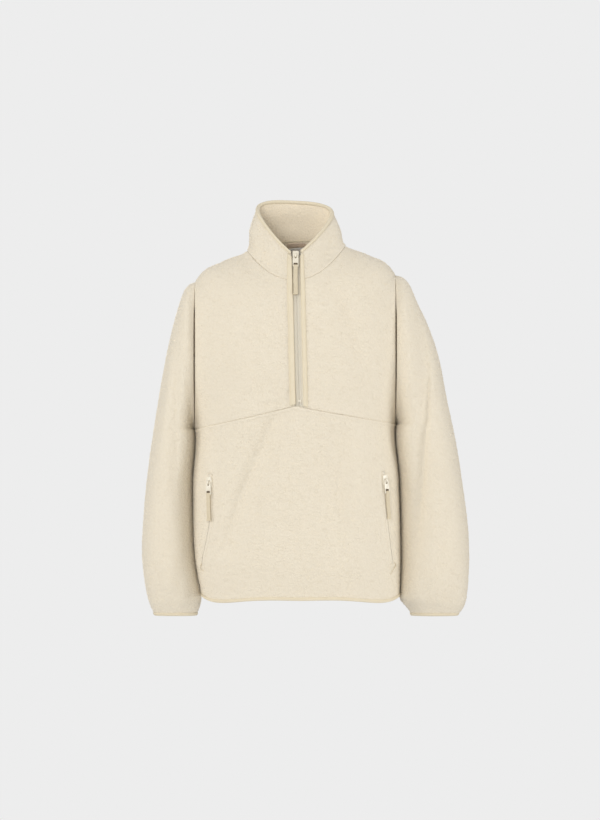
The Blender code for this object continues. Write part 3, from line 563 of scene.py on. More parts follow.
def panelGrid(rows, anglesAt):
    # rows are levels, and anglesAt(level) gives every angle across
    return np.stack([bodySurface(level, anglesAt(level)) for level in rows])


def drawIn(grid, distance):
    # all four edges of a grid drawn in along the cloth, for the gap at a seam
    grid = grid.copy()
    for line in (grid, grid.swapaxes(0, 1)):
        for edge, beside in ((0, 1), (-1, -2)):
            way = line[beside] - line[edge]
            length = np.linalg.norm(way, axis=-1, keepdims=True)
            line[edge] = line[edge] + way * distance / np.maximum(length, 1e-6)
    return grid


def evenLevels(low, high, x, face, step, multiple):
    # levels spaced evenly along the cloth at one x
    level = np.linspace(low, high, 400)
    line, unused = bodyAtX(level, x, face)
    run = arcSteps(line)
    share = spaced(run[-1], step, multiple)
    return np.interp(share * run[-1], run, level)


def evenAngles(level, low, high, shares):
    # angles between two edges, spaced evenly along the cloth
    angle = low + (high - low) * np.linspace(0, 1, 160)
    line = bodySurface(level, angle)
    run = arcSteps(line)
    return np.interp(shares * run[-1], run, angle)


def frontEdges(level, side):
    zipEdge = angleAtX(level, zipX(level) + signOf[side] * zipLine["panelEdge"])
    outer = -armholeAngle(level) if side == "right" else armholeAngle(level) - math.pi
    return float(outer), float(zipEdge)


pocketRoutes = {
    "left": ((-163.6, -414), (-162.6, -455), (-163.0, -500), (-169.0, -537), (-175.5, -566),
             (-176.8, -580)),
    "right": ((157.0, -410), (160.0, -455), (163.5, -500), (167.8, -537), (171.2, -564),
              (172.8, -578))}
pocket = {"lipAway": 7.0, "lipHigh": 1.2, "lipWide": 4.2, "lipGap": 0.45, "lipReach": 6.4,
          "weltDeep": 1.5, "weltWide": 1.9, "drawDeep": 1.2, "stations": 80}
pocketWelts = {"left": ((-168, -415.0, .6), (-160, -415.5, 1), (-146, -417, .8), (-136, -419, .1)),
               "right": ((148, -408.5, .5), (156, -409.5, 1), (166, -411, .8), (174, -413, .1))}


def pocketForms(grid):
    # a swelling beside each pocket zip, a pressed line above it and a hollow where it ends
    bumps = np.zeros(grid.shape[:2])
    x, z = grid[..., 0], grid[..., 2]
    for side, route in pocketRoutes.items():
        away, unused, unused = lineDistance(x, z, route)
        bumps += pocket["lipHigh"] * np.exp(-((away - pocket["lipAway"]) / pocket["lipWide"]) ** 2)
        away, unused, share = lineDistance(x, z, pocketWelts[side])
        bumps -= pocket["weltDeep"] * share * np.exp(-(away / pocket["weltWide"]) ** 2)
        low = route[-1]
        far = np.hypot(x - low[0], z - low[1] + 9)
        bumps -= pocket["drawDeep"] * np.exp(-(far / 5) ** 2)
    return bumps


def seamRidge(grid, high=1.1, at=3.0, wide=2.4, edge="top"):
    # a soft raised edge along a seam
    away = edgeAway(grid, (edge,))
    return high * np.exp(-((away - at) / wide) ** 2)


collarFolds = ((2.4, 7, 10, ((-79, 30, .2), (-72, 4, 1), (-58, -33, .4))),
               (1.6, 3.5, 5, ((46, 14, .1), (60, 6, 1), (78, 10, .2))),
               (1.9, 3.5, 5, ((43, 2, .1), (58, -6, 1), (80, -4, .2))),
               (1.7, 3.5, 5, ((44, -10, .1), (58, -16, 1), (74, -14, .2))),
               (2.6, 11, 8, ((70, 58, .2), (58, 22, 1), (48, -16, .8), (40, -34, .1))),
               (1.2, 5, 4, ((-66, 60, .1), (-60, 34, 1), (-50, 12, .1))))
collar = {"step": 2.4, "gain": 1.5}


def collarForms(grid):
    # creases in the front of the collar
    bumps = np.zeros(grid.shape[:2])
    for depth, leftWidth, rightWidth, points in collarFolds:
        away, side, share = lineDistance(grid[..., 0], grid[..., 2], points)
        width = np.where(side > 0, rightWidth, leftWidth)
        bumps -= depth * share * np.exp(-(away / width) ** 2)
    return bumps * np.clip((10 - grid[..., 1]) / 20, 0, 1)


def makePanels():
    made = {}
    step, every = cloth["step"], cloth["innerEvery"]
    lowRows = evenLevels(0, 3, -60, "front", step, every)
    shares = spaced(470, step, every)
    grid = panelGrid(lowRows, lambda level: evenAngles(level, -math.pi, 0, shares))
    grid = drawIn(grid, cloth["seamGap"])
    made["front_lower"] = clothShell("frontLower", grid, edges=("top", "first", "last"),
                                     bumps=pocketForms(grid) + seamRidge(grid), seed=11)
    upRows = evenLevels(3, 7, -60, "front", step, every)
    for side, seed in (("left", 12), ("right", 13)):
        shares = spaced(205, step, every)
        grid = panelGrid(upRows, lambda level: evenAngles(level, *frontEdges(level, side),
                                                          shares))
        grid = drawIn(grid, cloth["seamGap"])
        made[f"front_upper_{side}"] = clothShell(
            f"frontUpper{side.title()}", grid, edges=("bottom", "top", "first"), seed=seed)
    backRows = np.concatenate([evenLevels(0, 3, 0, "back", step, every)[:-1],
                               evenLevels(3, 7, 0, "back", step, every)])
    shares = spaced(450, step, every)

    def backAngles(level):
        armhole = float(armholeAngle(level, "back"))
        return evenAngles(level, armhole, math.pi - armhole, shares)
    grid = panelGrid(backRows, backAngles)
    grid = drawIn(grid, cloth["seamGap"])
    made["back"] = clothShell("backPanel", grid, edges=("top", "first", "last"), seed=14)
    collarRows = evenLevels(7, 9, -40, "front", collar["step"], every)
    shares = spaced(440, collar["step"], every)

    def collarAngles(level):
        unused, right = frontEdges(level, "right")
        unused, left = frontEdges(level, "left")
        return evenAngles(level, right, left + 2 * math.pi, shares)
    grid = drawIn(panelGrid(collarRows, collarAngles), cloth["seamGap"])
    made["collar"] = clothShell("collarPiece", grid, edges=("bottom",), seed=15, innerEvery=1,
                                bumps=seamRidge(grid, .9, 3.2, 2.2, "bottom")
                                + collar["gain"] * collarForms(grid))
    return made


def makeSleeves():
    made = {}
    for side, seed in (("left", 21), ("right", 22)):
        row = np.linspace(0, len(sleeveRings[side]) - 1, 600)
        run = arcSteps(sleeveSurface(side, row, np.zeros(600) + math.pi / 2))
        rows = np.interp(spaced(run[-1], cloth["step"], 3) * run[-1], run, row)
        turn = np.linspace(0, 2 * math.pi, 241)
        shares = np.linspace(0, 1, sleeveShape["columns"] + 1)[:-1]
        grid = []
        for here in rows:
            length = arcSteps(sleeveSurface(side, here, turn))
            grid.append(sleeveSurface(side, here, np.interp(shares * length[-1], length, turn)))
        made[f"sleeve_{side}"] = clothShell(f"sleeve{side.title()}", np.stack(grid), closed=True,
                                            edges=("bottom",), seed=seed)
    return made


# finishes

class Wire:
    # a socket with the arithmetic that the finishes use
    def __init__(self, shader, socket):
        self.shader, self.socket = shader, socket

    def sum(self, operation, first, second):
        return self.shader.add("ShaderNodeMath", {"operation": operation}, {0: first, 1: second})

    def __add__(self, other): return self.sum("ADD", self, other)
    def __radd__(self, other): return self.sum("ADD", other, self)
    def __sub__(self, other): return self.sum("SUBTRACT", self, other)
    def __rsub__(self, other): return self.sum("SUBTRACT", other, self)
    def __mul__(self, other): return self.sum("MULTIPLY", self, other)
    def __rmul__(self, other): return self.sum("MULTIPLY", other, self)


class Shader:
    def __init__(self, name):
        self.material = bpy.data.materials.new(name)
        self.material.use_nodes = True
        self.tree = self.material.node_tree
        self.surface = self.tree.nodes["Principled BSDF"]

    def add(self, kind, settings=None, sockets=None, out=0):
        node = self.tree.nodes.new(kind)
        for key, value in (settings or {}).items():
            setattr(node, key, value)
        for key, value in (sockets or {}).items():
            self.feed(node.inputs[key], value)
        return Wire(self, node.outputs[out])

    def feed(self, socket, value):
        if isinstance(value, Wire):
            self.tree.links.new(value.socket, socket)
        else:
            socket.default_value = value

    def finish(self, **sockets):
        for key, value in sockets.items():
            self.feed(self.surface.inputs[key.replace("_", " ")], value)
        return self.material

    def blend(self, factor, first, second):
        return self.add("ShaderNodeMix", {"data_type": "RGBA"},
                        {0: factor, 6: first, 7: second}, 2)

    def noise(self, place, scale, detail, rough):
        return self.add("ShaderNodeTexNoise", {}, {"Vector": place, "Scale": scale,
                                                   "Detail": detail, "Roughness": rough})

    def bump(self, height, distance, strength):
        return self.add("ShaderNodeBump", {}, {"Height": height, "Distance": distance,
                                               "Strength": strength})


tones = {"fleece": (.845, .775, .645, 1), "fleeceDeep": (.785, .705, .565, 1),
         # the inside tones are lighter than the outer fleece: painted light that lifts the shade
         # on the inner walls, seen inside the neck
         "pile": (.845, .78, .655, 1), "inside": (.97, .87, .70, 1),
         "insideBrightenedDeep": (.93, .82, .64, 1), "binding": (.835, .75, .585, 1),
         "bindingDeep": (.75, .655, .47, 1), "tape": (.86, .82, .72, 1),
         "tapeDeep": (.74, .69, .58, 1), "enamel": (.84, .78, .65, 1),
         "enamelDeep": (.83, .77, .64, 1),
         "ribbon": (.83, .745, .57, 1), "ribbonDeep": (.56, .46, .30, 1),
         "label": (.93, .92, .90, 1), "labelDeep": (.80, .79, .76, 1),
         "loop": (.79, .66, .54, 1), "loopDeep": (.64, .50, .38, 1),
         "thread": (.80, .70, .50, 1), "coil": (.78, .74, .64, 1), "shade": (.13, .095, .06, 1)}


def fleeceFinish(name, inside=False):
    s = Shader(name)
    place = s.add("ShaderNodeTexCoord", out="Object")
    curls = s.add("ShaderNodeTexVoronoi", {"feature": "SMOOTH_F1"},
                  {"Vector": place, "Scale": 300 if inside else 250, "Smoothness": .5},
                  "Distance")
    fine = s.noise(place, 520, 3, .6)
    broad = s.noise(place, 16, 3, .55)
    height = (1 - curls) * .8 + fine * .6
    shade = (1 - curls) * .5 + fine * .35 + broad * .3
    # the inside gets lighter tones than the outside: painted light against the shade on the inner
    # walls
    colour = s.blend(shade, tones["insideBrightenedDeep" if inside else "fleeceDeep"],
                     tones["inside" if inside else "fleece"])
    return s.finish(Base_Color=colour, Roughness=.95, Sheen_Weight=.25, Sheen_Roughness=.5,
                    Specular_IOR_Level=.2, Normal=s.bump(height, .0012, .75))


def plainFinish(name, tone, rough, coat=0.0, sheen=0.0, shine=.5):
    return Shader(name).finish(Base_Color=tones[tone], Roughness=rough, Coat_Weight=coat,
                               Sheen_Weight=sheen, Specular_IOR_Level=shine)


def ribFinish(name, tone, deep, ribs, rough=.75, depth=.0002):
    # ribs run across a strip that carries its own measured map
    s = Shader(name)
    place = s.add("ShaderNodeUVMap", {"uv_map": "strip"})
    bands = s.add("ShaderNodeTexWave", {"wave_type": "BANDS", "bands_direction": "X"},
                  {"Vector": place, "Scale": ribs, "Distortion": .6, "Detail": 1.0})
    spot = s.add("ShaderNodeTexCoord", out="Object")
    fibre = s.noise(spot, 900, 3, .6)
    broad = s.noise(spot, 60, 2, .5)
    shade = bands * .35 + fibre * .3 + broad * .45
    colour = s.blend(shade, tones[deep], tones[tone])
    return s.finish(Base_Color=colour, Roughness=rough, Sheen_Weight=.15,
                    Specular_IOR_Level=.3, Normal=s.bump(bands * .7 + fibre * .5, depth, .7))


def weaveFinish(name, tone, deep, scale, rough=.7, depth=.00018, diagonal=False):
    s = Shader(name)
    place = s.add("ShaderNodeUVMap", {"uv_map": "strip"})
    lengthwise = s.add("ShaderNodeTexWave", {"wave_type": "BANDS", "bands_direction": "X"},
                       {"Vector": place, "Scale": scale})
    crosswise = s.add("ShaderNodeTexWave",
                      {"wave_type": "BANDS", "bands_direction": "DIAGONAL" if diagonal else "Y"},
                      {"Vector": place, "Scale": scale * .8})
    fibre = s.noise(s.add("ShaderNodeTexCoord", out="Object"), 1100, 3, .6)
    weave = crosswise * .8 + lengthwise * (.1 if diagonal else .45)
    colour = s.blend(weave * .45 + fibre * .5, tones[deep], tones[tone])
    return s.finish(Base_Color=colour, Roughness=rough, Sheen_Weight=.1,
                    Specular_IOR_Level=.3, Normal=s.bump(weave + fibre * .4, depth, .7))


def enamelFinish(name):
    s = Shader(name)
    place = s.add("ShaderNodeTexCoord", out="Object")
    wear = s.noise(place, 220, 4, .6)
    return s.finish(Base_Color=s.blend(wear, tones["enamelDeep"], tones["enamel"]),
                    Roughness=.26 + wear * .16, Coat_Weight=.4, Coat_Roughness=.15,
                    Normal=s.bump(wear, .00003, .5))


finishes = {
    "cloth": fleeceFinish("fleeceCloth"),
    "pile": plainFinish("fleecePile", "pile", .95, sheen=.3, shine=.15),
    # the inside finish is a lighter copy of the fleece: painted light for the shaded inner walls
    "inside": fleeceFinish("fleeceInsideBrightened", True),
    "binding": ribFinish("bindingTape", "binding", "bindingDeep", 260),
    "thread": plainFinish("sewingThread", "thread", .6, sheen=.1),
    "tape": weaveFinish("zipTape", "tape", "tapeDeep", 380),
    "coil": plainFinish("zipCoil", "coil", .35, coat=.2),
    "enamel": enamelFinish("lacqueredMetal"),
    "shade": plainFinish("holeShade", "shade", .9),
    "ribbon": ribFinish("pullRibbon", "ribbon", "ribbonDeep", 420, rough=.65, depth=.00016),
    "label": weaveFinish("satinLabel", "label", "labelDeep", 520, rough=.38, depth=.00005),
    "loop": weaveFinish("twillLoop", "loop", "loopDeep", 640, depth=.0002, diagonal=True)}


# Geometry Nodes: the pile, and rows of stitches, coils and studs

def newTree(name, inputs):
    tree = bpy.data.node_groups.new(name, "GeometryNodeTree")
    tree.interface.new_socket("Geometry", in_out="INPUT", socket_type="NodeSocketGeometry")
    for label, kind in inputs:
        tree.interface.new_socket(label, in_out="INPUT", socket_type=kind)
    tree.interface.new_socket("Geometry", in_out="OUTPUT", socket_type="NodeSocketGeometry")
    return tree, tree.nodes.new("NodeGroupInput"), tree.nodes.new("NodeGroupOutput")


def geometryNode(tree, kind, settings=None, sockets=None):
    node = tree.nodes.new(kind)
    for key, value in (settings or {}).items():
        setattr(node, key, value)
    for key, value in (sockets or {}).items():
        socket = node.inputs[key]
        if isinstance(value, bpy.types.NodeSocket):
            tree.links.new(value, socket)
        else:
            socket.default_value = value
    return node


# tufts on a square metre, their size in mm, the most they lean in radians, their spread of size,
# and their share of that length on the pocket lips
pile = {"perArea": 90000.0, "length": 1.3, "width": .6, "lean": .5, "sizes": (.6, 1.25),
        "lipShare": .8}


def pileTree():
    tree, given, result = newTree("pile", (("Density", "NodeSocketFloat"),
                                           ("Length", "NodeSocketFloat"),
                                           ("Width", "NodeSocketFloat"),
                                           ("Seed", "NodeSocketInt"),
                                           ("Finish", "NodeSocketMaterial")))
    made = lambda *words: geometryNode(tree, *words)
    share = made("GeometryNodeInputNamedAttribute", {"data_type": "FLOAT"}, {"Name": "pile"})
    density = made("ShaderNodeMath", {"operation": "MULTIPLY"},
                   {0: given.outputs["Density"], 1: share.outputs["Attribute"]})
    spots = made("GeometryNodeDistributePointsOnFaces", {},
                 {"Mesh": given.outputs["Geometry"], "Density": density.outputs[0],
                  "Seed": given.outputs["Seed"]})
    tuft = made("GeometryNodeMeshCone", {}, {"Vertices": 3, "Radius Top": 0.0,
                                             "Radius Bottom": given.outputs["Width"],
                                             "Depth": given.outputs["Length"]})
    most = (pile["lean"], pile["lean"], 3.1)
    lean = made("FunctionNodeRandomValue", {"data_type": "FLOAT_VECTOR"},
                {"Min": tuple(-value for value in most), "Max": most})
    turn = made("FunctionNodeEulerToRotation", {}, {"Euler": lean.outputs[0]})
    turned = made("FunctionNodeRotateRotation", {"rotation_space": "LOCAL"},
                  {"Rotation": spots.outputs["Rotation"], "Rotate By": turn.outputs[0]})
    size = made("FunctionNodeRandomValue", {"data_type": "FLOAT"},
                {2: pile["sizes"][0], 3: pile["sizes"][1], "Seed": 7})
    placed = made("GeometryNodeInstanceOnPoints", {},
                  {"Points": spots.outputs["Points"], "Instance": tuft.outputs["Mesh"],
                   "Rotation": turned.outputs[0], "Scale": size.outputs[1]})
    real = made("GeometryNodeRealizeInstances", {}, {"Geometry": placed.outputs[0]})
    finish = made("GeometryNodeSetMaterial", {}, {"Geometry": real.outputs[0],
                                                  "Material": given.outputs["Finish"]})
    tree.links.new(finish.outputs[0], result.inputs[0])
    return tree


def rowTree():
    # small rounded pieces at even steps along a line that carries its outward way
    tree, given, result = newTree("row", (("Pitch", "NodeSocketFloat"),
                                          ("Size", "NodeSocketVector"),
                                          ("Lean", "NodeSocketFloat"),
                                          ("Finish", "NodeSocketMaterial")))
    made = lambda *words: geometryNode(tree, *words)
    line = made("GeometryNodeMeshToCurve", {}, {"Mesh": given.outputs["Geometry"]})
    steps = made("GeometryNodeResampleCurve", {"mode": "LENGTH"},
                 {"Curve": line.outputs[0], "Length": given.outputs["Pitch"]})
    ball = made("GeometryNodeMeshUVSphere", {}, {"Segments": 6, "Rings": 5, "Radius": 1.0})
    along = made("GeometryNodeInputTangent")
    out = made("GeometryNodeInputNamedAttribute", {"data_type": "FLOAT_VECTOR"},
               {"Name": "out"})
    axes = made("FunctionNodeAxesToRotation", {"primary_axis": "Z", "secondary_axis": "X"},
                {"Primary Axis": out.outputs["Attribute"], "Secondary Axis": along.outputs[0]})
    twist = made("ShaderNodeCombineXYZ", {}, {"Z": given.outputs["Lean"]})
    lean = made("FunctionNodeEulerToRotation", {}, {"Euler": twist.outputs[0]})
    turned = made("FunctionNodeRotateRotation", {"rotation_space": "LOCAL"},
                  {"Rotation": axes.outputs[0], "Rotate By": lean.outputs[0]})
    placed = made("GeometryNodeInstanceOnPoints", {},
                  {"Points": steps.outputs[0], "Instance": ball.outputs["Mesh"],
                   "Rotation": turned.outputs[0], "Scale": given.outputs["Size"]})
    real = made("GeometryNodeRealizeInstances", {}, {"Geometry": placed.outputs[0]})
    smooth = made("GeometryNodeSetShadeSmooth", {}, {"Geometry": real.outputs[0]})
    finish = made("GeometryNodeSetMaterial", {}, {"Geometry": smooth.outputs[0],
                                                  "Material": given.outputs["Finish"]})
    tree.links.new(finish.outputs[0], result.inputs[0])
    return tree


trees = {"pile": pileTree(), "row": rowTree()}


def grown(name, source, tree, keepSource=False, **values):
    # runs a tree on a source object and keeps the result as a plain mesh
    modifier = source.modifiers.new("grow", "NODES")
    modifier.node_group = trees[tree]
    for item in trees[tree].interface.items_tree:
        if item.in_out == "INPUT" and item.name in values:
            modifier[item.identifier] = values[item.name]
    graph = bpy.context.evaluated_depsgraph_get()
    mesh = bpy.data.meshes.new_from_object(source.evaluated_get(graph), depsgraph=graph)
    mesh.name = name
    source.modifiers.remove(modifier)
    made = bpy.data.objects.new(name, mesh)
    bpy.context.scene.collection.objects.link(made)
    if not keepSource:
        bpy.data.objects.remove(source)
    for layer in [l.name for l in mesh.attributes if l.name in ("out", "pile")]:
        mesh.attributes.remove(mesh.attributes[layer])
    return made


def tufted(shell, share, seed):
    return grown(shell.name + "Pile", shell, "pile", keepSource=True, Density=pile["perArea"],
                 Length=pile["length"] * mm * share, Width=pile["width"] * mm, Seed=seed,
                 Finish=finishes["pile"])


def rowOf(name, points, outs, pitch, size, finish, lean=0.0):
    mesh = bpy.data.meshes.new(name + "Line")
    mesh.from_pydata((np.asarray(points) * mm).tolist(),
                     [(i, i + 1) for i in range(len(points) - 1)], [])
    way = mesh.attributes.new("out", "FLOAT_VECTOR", "POINT")
    way.data.foreach_set("vector", np.asarray(outs, np.float32).reshape(-1))
    line = bpy.data.objects.new(name + "Line", mesh)
    bpy.context.scene.collection.objects.link(line)
    return grown(name, line, "row", Pitch=pitch * mm, Size=tuple(v * mm for v in size),
                 Lean=lean, Finish=finishes[finish])


def joined(name, pieces):
    # several meshes as one, with their finishes kept
    context = {"active_object": pieces[0], "selected_editable_objects": pieces,
               "object": pieces[0]}
    if len(pieces) > 1:
        with bpy.context.temp_override(**context):
            bpy.ops.object.join()
    pieces[0].name = pieces[0].data.name = name
    return pieces[0]


# strips: bindings, tapes, ribbons

def unitRows(vectors):
    return vectors / np.maximum(np.linalg.norm(vectors, axis=-1, keepdims=True), 1e-9)


def sweep(name, points, outs, ups, profile, finish, closed=False, scale=None):
    # a profile of (out, up) carried along a line; scale widens it at each station
    profile = np.asarray(profile, float)
    if scale is not None:
        centre = profile.mean(0)
        profile = centre + (profile - centre) * np.asarray(scale)[:, None, None]
    else:
        profile = np.broadcast_to(profile, (len(points),) + profile.shape)
    grid = (points[:, None] + outs[:, None] * profile[..., :1] + ups[:, None] * profile[..., 1:])
    rows, columns = grid.shape[:2]
    faces = []
    for s in range(rows if closed else rows - 1):
        near, far = s * columns, (s + 1) % rows * columns
        for i in range(columns):
            j = (i + 1) % columns
            faces.append((near + i, near + j, far + j, far + i))
    if not closed:
        faces.append(tuple(range(columns)))
        faces.append(tuple(reversed(range((rows - 1) * columns, rows * columns))))
    made = newObject(name, grid.reshape(-1, 3), faces)
    outward(made)
    stripMap(made, points, profile[0], closed)
    made.data.materials.append(finishes[finish])
    return made


def outward(made):
    work = bmesh.new()
    work.from_mesh(made.data)
    bmesh.ops.recalc_face_normals(work, faces=work.faces)
    if work.calc_volume(signed=True) < 0:
        bmesh.ops.reverse_faces(work, faces=work.faces)
    work.to_mesh(made.data)
    work.free()


def stripMap(made, points, profile, closed):
    # a map in metres, along the strip and round it, for the patterns
    mesh = made.data
    columns = len(profile)
    along, around = arcSteps(points) * mm, arcSteps(profile) * mm
    vertex = readMesh(mesh.loops, "vertex_index")
    corners = readMesh(mesh.polygons, "loop_total")
    face = np.repeat(np.arange(len(corners)), corners)
    station = vertex // columns
    high, low = np.zeros(len(corners), int), np.full(len(corners), 10 ** 9)
    np.maximum.at(high, face, station)
    np.minimum.at(low, face, station)
    wraps = closed & ((high - low)[face] > 1) & (station == 0)
    u = np.where(wraps, along[-1] + (along[1] - along[0]), along[station])
    uv = np.stack([u, around[vertex % columns]], -1)
    mesh.uv_layers.new(name="strip").data.foreach_set("uv", uv.astype(np.float32).reshape(-1))


def bindingProfile(face, back, clear):
    # a soft U round a cut edge, as (out, up)
    wall, thick, bulge = cloth["wall"], binding["thick"], binding["bulge"]
    outer, middle = clear + thick, -wall / 2
    half = outer - middle
    turns = np.linspace(0, math.pi, 11)
    nose = [(middle + half * math.cos(t), -outer * math.sin(t)) for t in turns]
    faceSide = [(clear, face), (clear + thick * .55, face + .35), (outer, face - .25),
                (outer + bulge, face * .6), (outer + bulge * .8, face * .3)]
    backSide = [(middle - half - bulge * .8, back * .3), (middle - half - bulge, back * .6),
                (middle - half, back - .25), (middle - half + thick * .45, back + .35),
                (-wall - clear, back)]
    inside = [(-wall - clear, -clear), (clear, -clear)]
    return faceSide + nose + backSide + inside


def evened(stations, step, closed=False):
    # stations of (point, out, up) spread evenly along their line
    points, outs, ups = (np.asarray(part, float) for part in stations)
    if closed:
        points, outs, ups = (np.vstack([part, part[:1]]) for part in (points, outs, ups))
    run = arcSteps(points)
    count = max(int(run[-1] / step), 4)
    place = np.linspace(0, run[-1], count + 1)
    if closed:
        place = place[:-1]
    pick = lambda part: np.stack([np.interp(place, run, part[:, k]) for k in range(3)], -1)
    return pick(points), unitRows(pick(outs)), unitRows(pick(ups))


def levelStations(level, beside, angles):
    points = bodySurface(level, angles)
    return points, bodyNormal(level, angles), unitRows(bodySurface(beside, angles) - points)


binding = {"step": 2.4, "hem": (4.4, 3.6), "cuff": (4.6, 3.6), "collar": (4.6, 4.2),
           "zip": {"left": (8.5, 5), "right": (6.2, 5)}, "thick": 1.2, "bulge": .35,
           "tight": .3, "easy": .6, "unevenness": .035, "stitchPitch": 3.3,
           "stitch": (1.15, .32, .24), "stitchDown": 1.3, "stitchRise": .3, "bareEnd": 3}


def boundEdge(name, stations, reach, clear, closed, seed):
    points, outs, ups = evened(stations, binding["step"], closed)
    random = np.random.default_rng(seed)
    scale = 1 + binding["unevenness"] * smoothLine(random.normal(size=len(points)), closed)
    made = sweep(name, points, outs, ups, bindingProfile(*reach, clear), "binding", closed,
                 scale)
    rise = clear + binding["thick"] + binding["stitchRise"]
    seam = points + ups * (reach[0] - binding["stitchDown"]) + outs * rise
    if closed:
        seam, outs = np.vstack([seam, seam[:1]]), np.vstack([outs, outs[:1]])
    else:
        shown = slice(binding["bareEnd"], -binding["bareEnd"])
        seam, outs = seam[shown], outs[shown]
    stitches = rowOf(name + "Stitches", seam, outs, binding["stitchPitch"], binding["stitch"],
                     "thread", .12)
    return made, stitches


def smoothLine(values, closed, times=5):
    for unused in range(times):
        padded = (np.concatenate([values[-1:], values, values[:1]]) if closed
                  else np.pad(values, 1, mode="edge"))
        values = (padded[:-2] + 2 * padded[1:-1] + padded[2:]) / 4
    return values / max(np.abs(values).max(), 1e-6)


def makeBindings():
    made = {}
    turn = np.linspace(-math.pi, math.pi, 900)[:-1]
    made["hem_binding"] = boundEdge("hemBinding", levelStations(0, .06, turn), binding["hem"],
                                    binding["tight"], True, 31)
    unused, right = frontEdges(9, "right")
    unused, left = frontEdges(9, "left")
    turn = np.linspace(right, left + 2 * math.pi, 700)
    made["collar_binding"] = boundEdge("collarBinding", levelStations(9, 8.94, turn),
                                       binding["collar"], binding["easy"], False, 32)
    for side, seed in (("left", 33), ("right", 34)):
        last = len(sleeveRings[side]) - 1
        turn = np.linspace(0, 2 * math.pi, 241)[:-1]
        points = sleeveSurface(side, last, turn)
        ups = unitRows(sleeveSurface(side, last - .05, turn) - points)
        around = sleeveSurface(side, last, turn + .02) - sleeveSurface(side, last, turn - .02)
        outs = unitRows(np.cross(around, ups))
        if ((points - points.mean(0)) * outs).sum() < 0:
            outs = -outs
        made[f"cuff_binding_{side}"] = boundEdge(f"cuffBinding{side.title()}",
                                                 (points, outs, ups), binding["cuff"],
                                                 binding["tight"], True, seed)
    for side, seed in (("left", 35), ("right", 36)):
        level = np.linspace(3.02, 8.74, 300)
        points, outs = bodyAtX(level, zipX(level) + signOf[side] * zipLine["panelEdge"])
        beside, unused = bodyAtX(level, zipX(level) + signOf[side] * 21)
        made[f"zip_binding_{side}"] = boundEdge(f"zipBinding{side.title()}",
                                                (points, outs, unitRows(beside - points)),
                                                binding["zip"][side], binding["easy"], False,
                                                seed)
    return made


zipTape = {"columns": (.07, .45, .9, 1.4, 2.0, 2.8, 4.0, 5.5, 7.5, 10, 13, 16), "depth": 5.2,
           "thick": 1.0, "beadAt": 2.4, "beadHigh": .7, "beadWide": 1.1, "step": 2.2,
           "grooveDeep": .7, "grooveWide": .9, "coilPitch": 1.55, "coil": (.5, 2.7, .85),
           "low": 2.9, "high": 8.72}


def slab(name, near, far, u, v, finish, reverse=False):
    # a closed plate between two grids of points, with a map in metres
    rows, count = near.shape[:2]
    under = rows * count
    faces = quads(rows, count, False, 0, reverse) + quads(rows, count, False, under, not reverse)
    edges = [[r * count + c for c in range(count)] for r in (0, rows - 1)]
    edges += [[r * count + c for r in range(rows)] for c in (0, count - 1)]
    for edge in edges:
        faces += [(a, b, under + b, under + a) for a, b in zip(edge, edge[1:])]
    piece = newObject(name, np.vstack([near.reshape(-1, 3), far.reshape(-1, 3)]), faces)
    outward(piece)
    gridMap(piece, *(np.concatenate([part.reshape(-1)] * 2) for part in (u, v)))
    piece.data.materials.append(finishes[finish])
    return piece


def makeZip():
    made = {}
    level = evenLevels(zipTape["low"], zipTape["high"], -5, "front", zipTape["step"], 1)
    columns = np.array(zipTape["columns"])
    bead = (columns - zipTape["beadAt"]) / zipTape["beadWide"]
    form = (zipTape["beadHigh"] * np.exp(-bead ** 2)
            - zipTape["grooveDeep"] * np.exp(-(columns / zipTape["grooveWide"]) ** 2))
    for side, sign in signOf.items():
        grid, normals = [], []
        for here in level:
            here = np.full(len(columns), here)
            point, normal = bodyAtX(here, zipX(here) + sign * columns)
            grid.append(point - normal * (zipTape["depth"] - form)[:, None])
            normals.append(normal)
        grid, normals = np.stack(grid), np.stack(normals)
        made[f"zip_tape_{side}"] = slab(f"zipTape{side.title()}", grid,
                                        grid - normals * zipTape["thick"], arcSteps(grid),
                                        np.tile(columns, len(grid)), "tape")
    point, normal = bodyAtX(level, zipX(level))
    behind = point - normal * (zipTape["depth"] + zipTape["thick"] + .2)
    made["coil"] = rowOf("zipCoil", behind, normal, zipTape["coilPitch"], zipTape["coil"],
                         "coil", .2)
    return made


def gridMap(made, u, v):
    mesh = made.data
    vertex = readMesh(mesh.loops, "vertex_index")
    uv = np.stack([u[vertex], v[vertex]], -1) * mm
    mesh.uv_layers.new(name="strip").data.foreach_set("uv", uv.astype(np.float32).reshape(-1))


zipTails = {"left": ((-176.8, -577), (-179.0, -583), (-178.4, -590), (-173.8, -593)),
            "right": ((172.8, -575), (178.2, -581), (174.0, -590), (169.4, -599))}


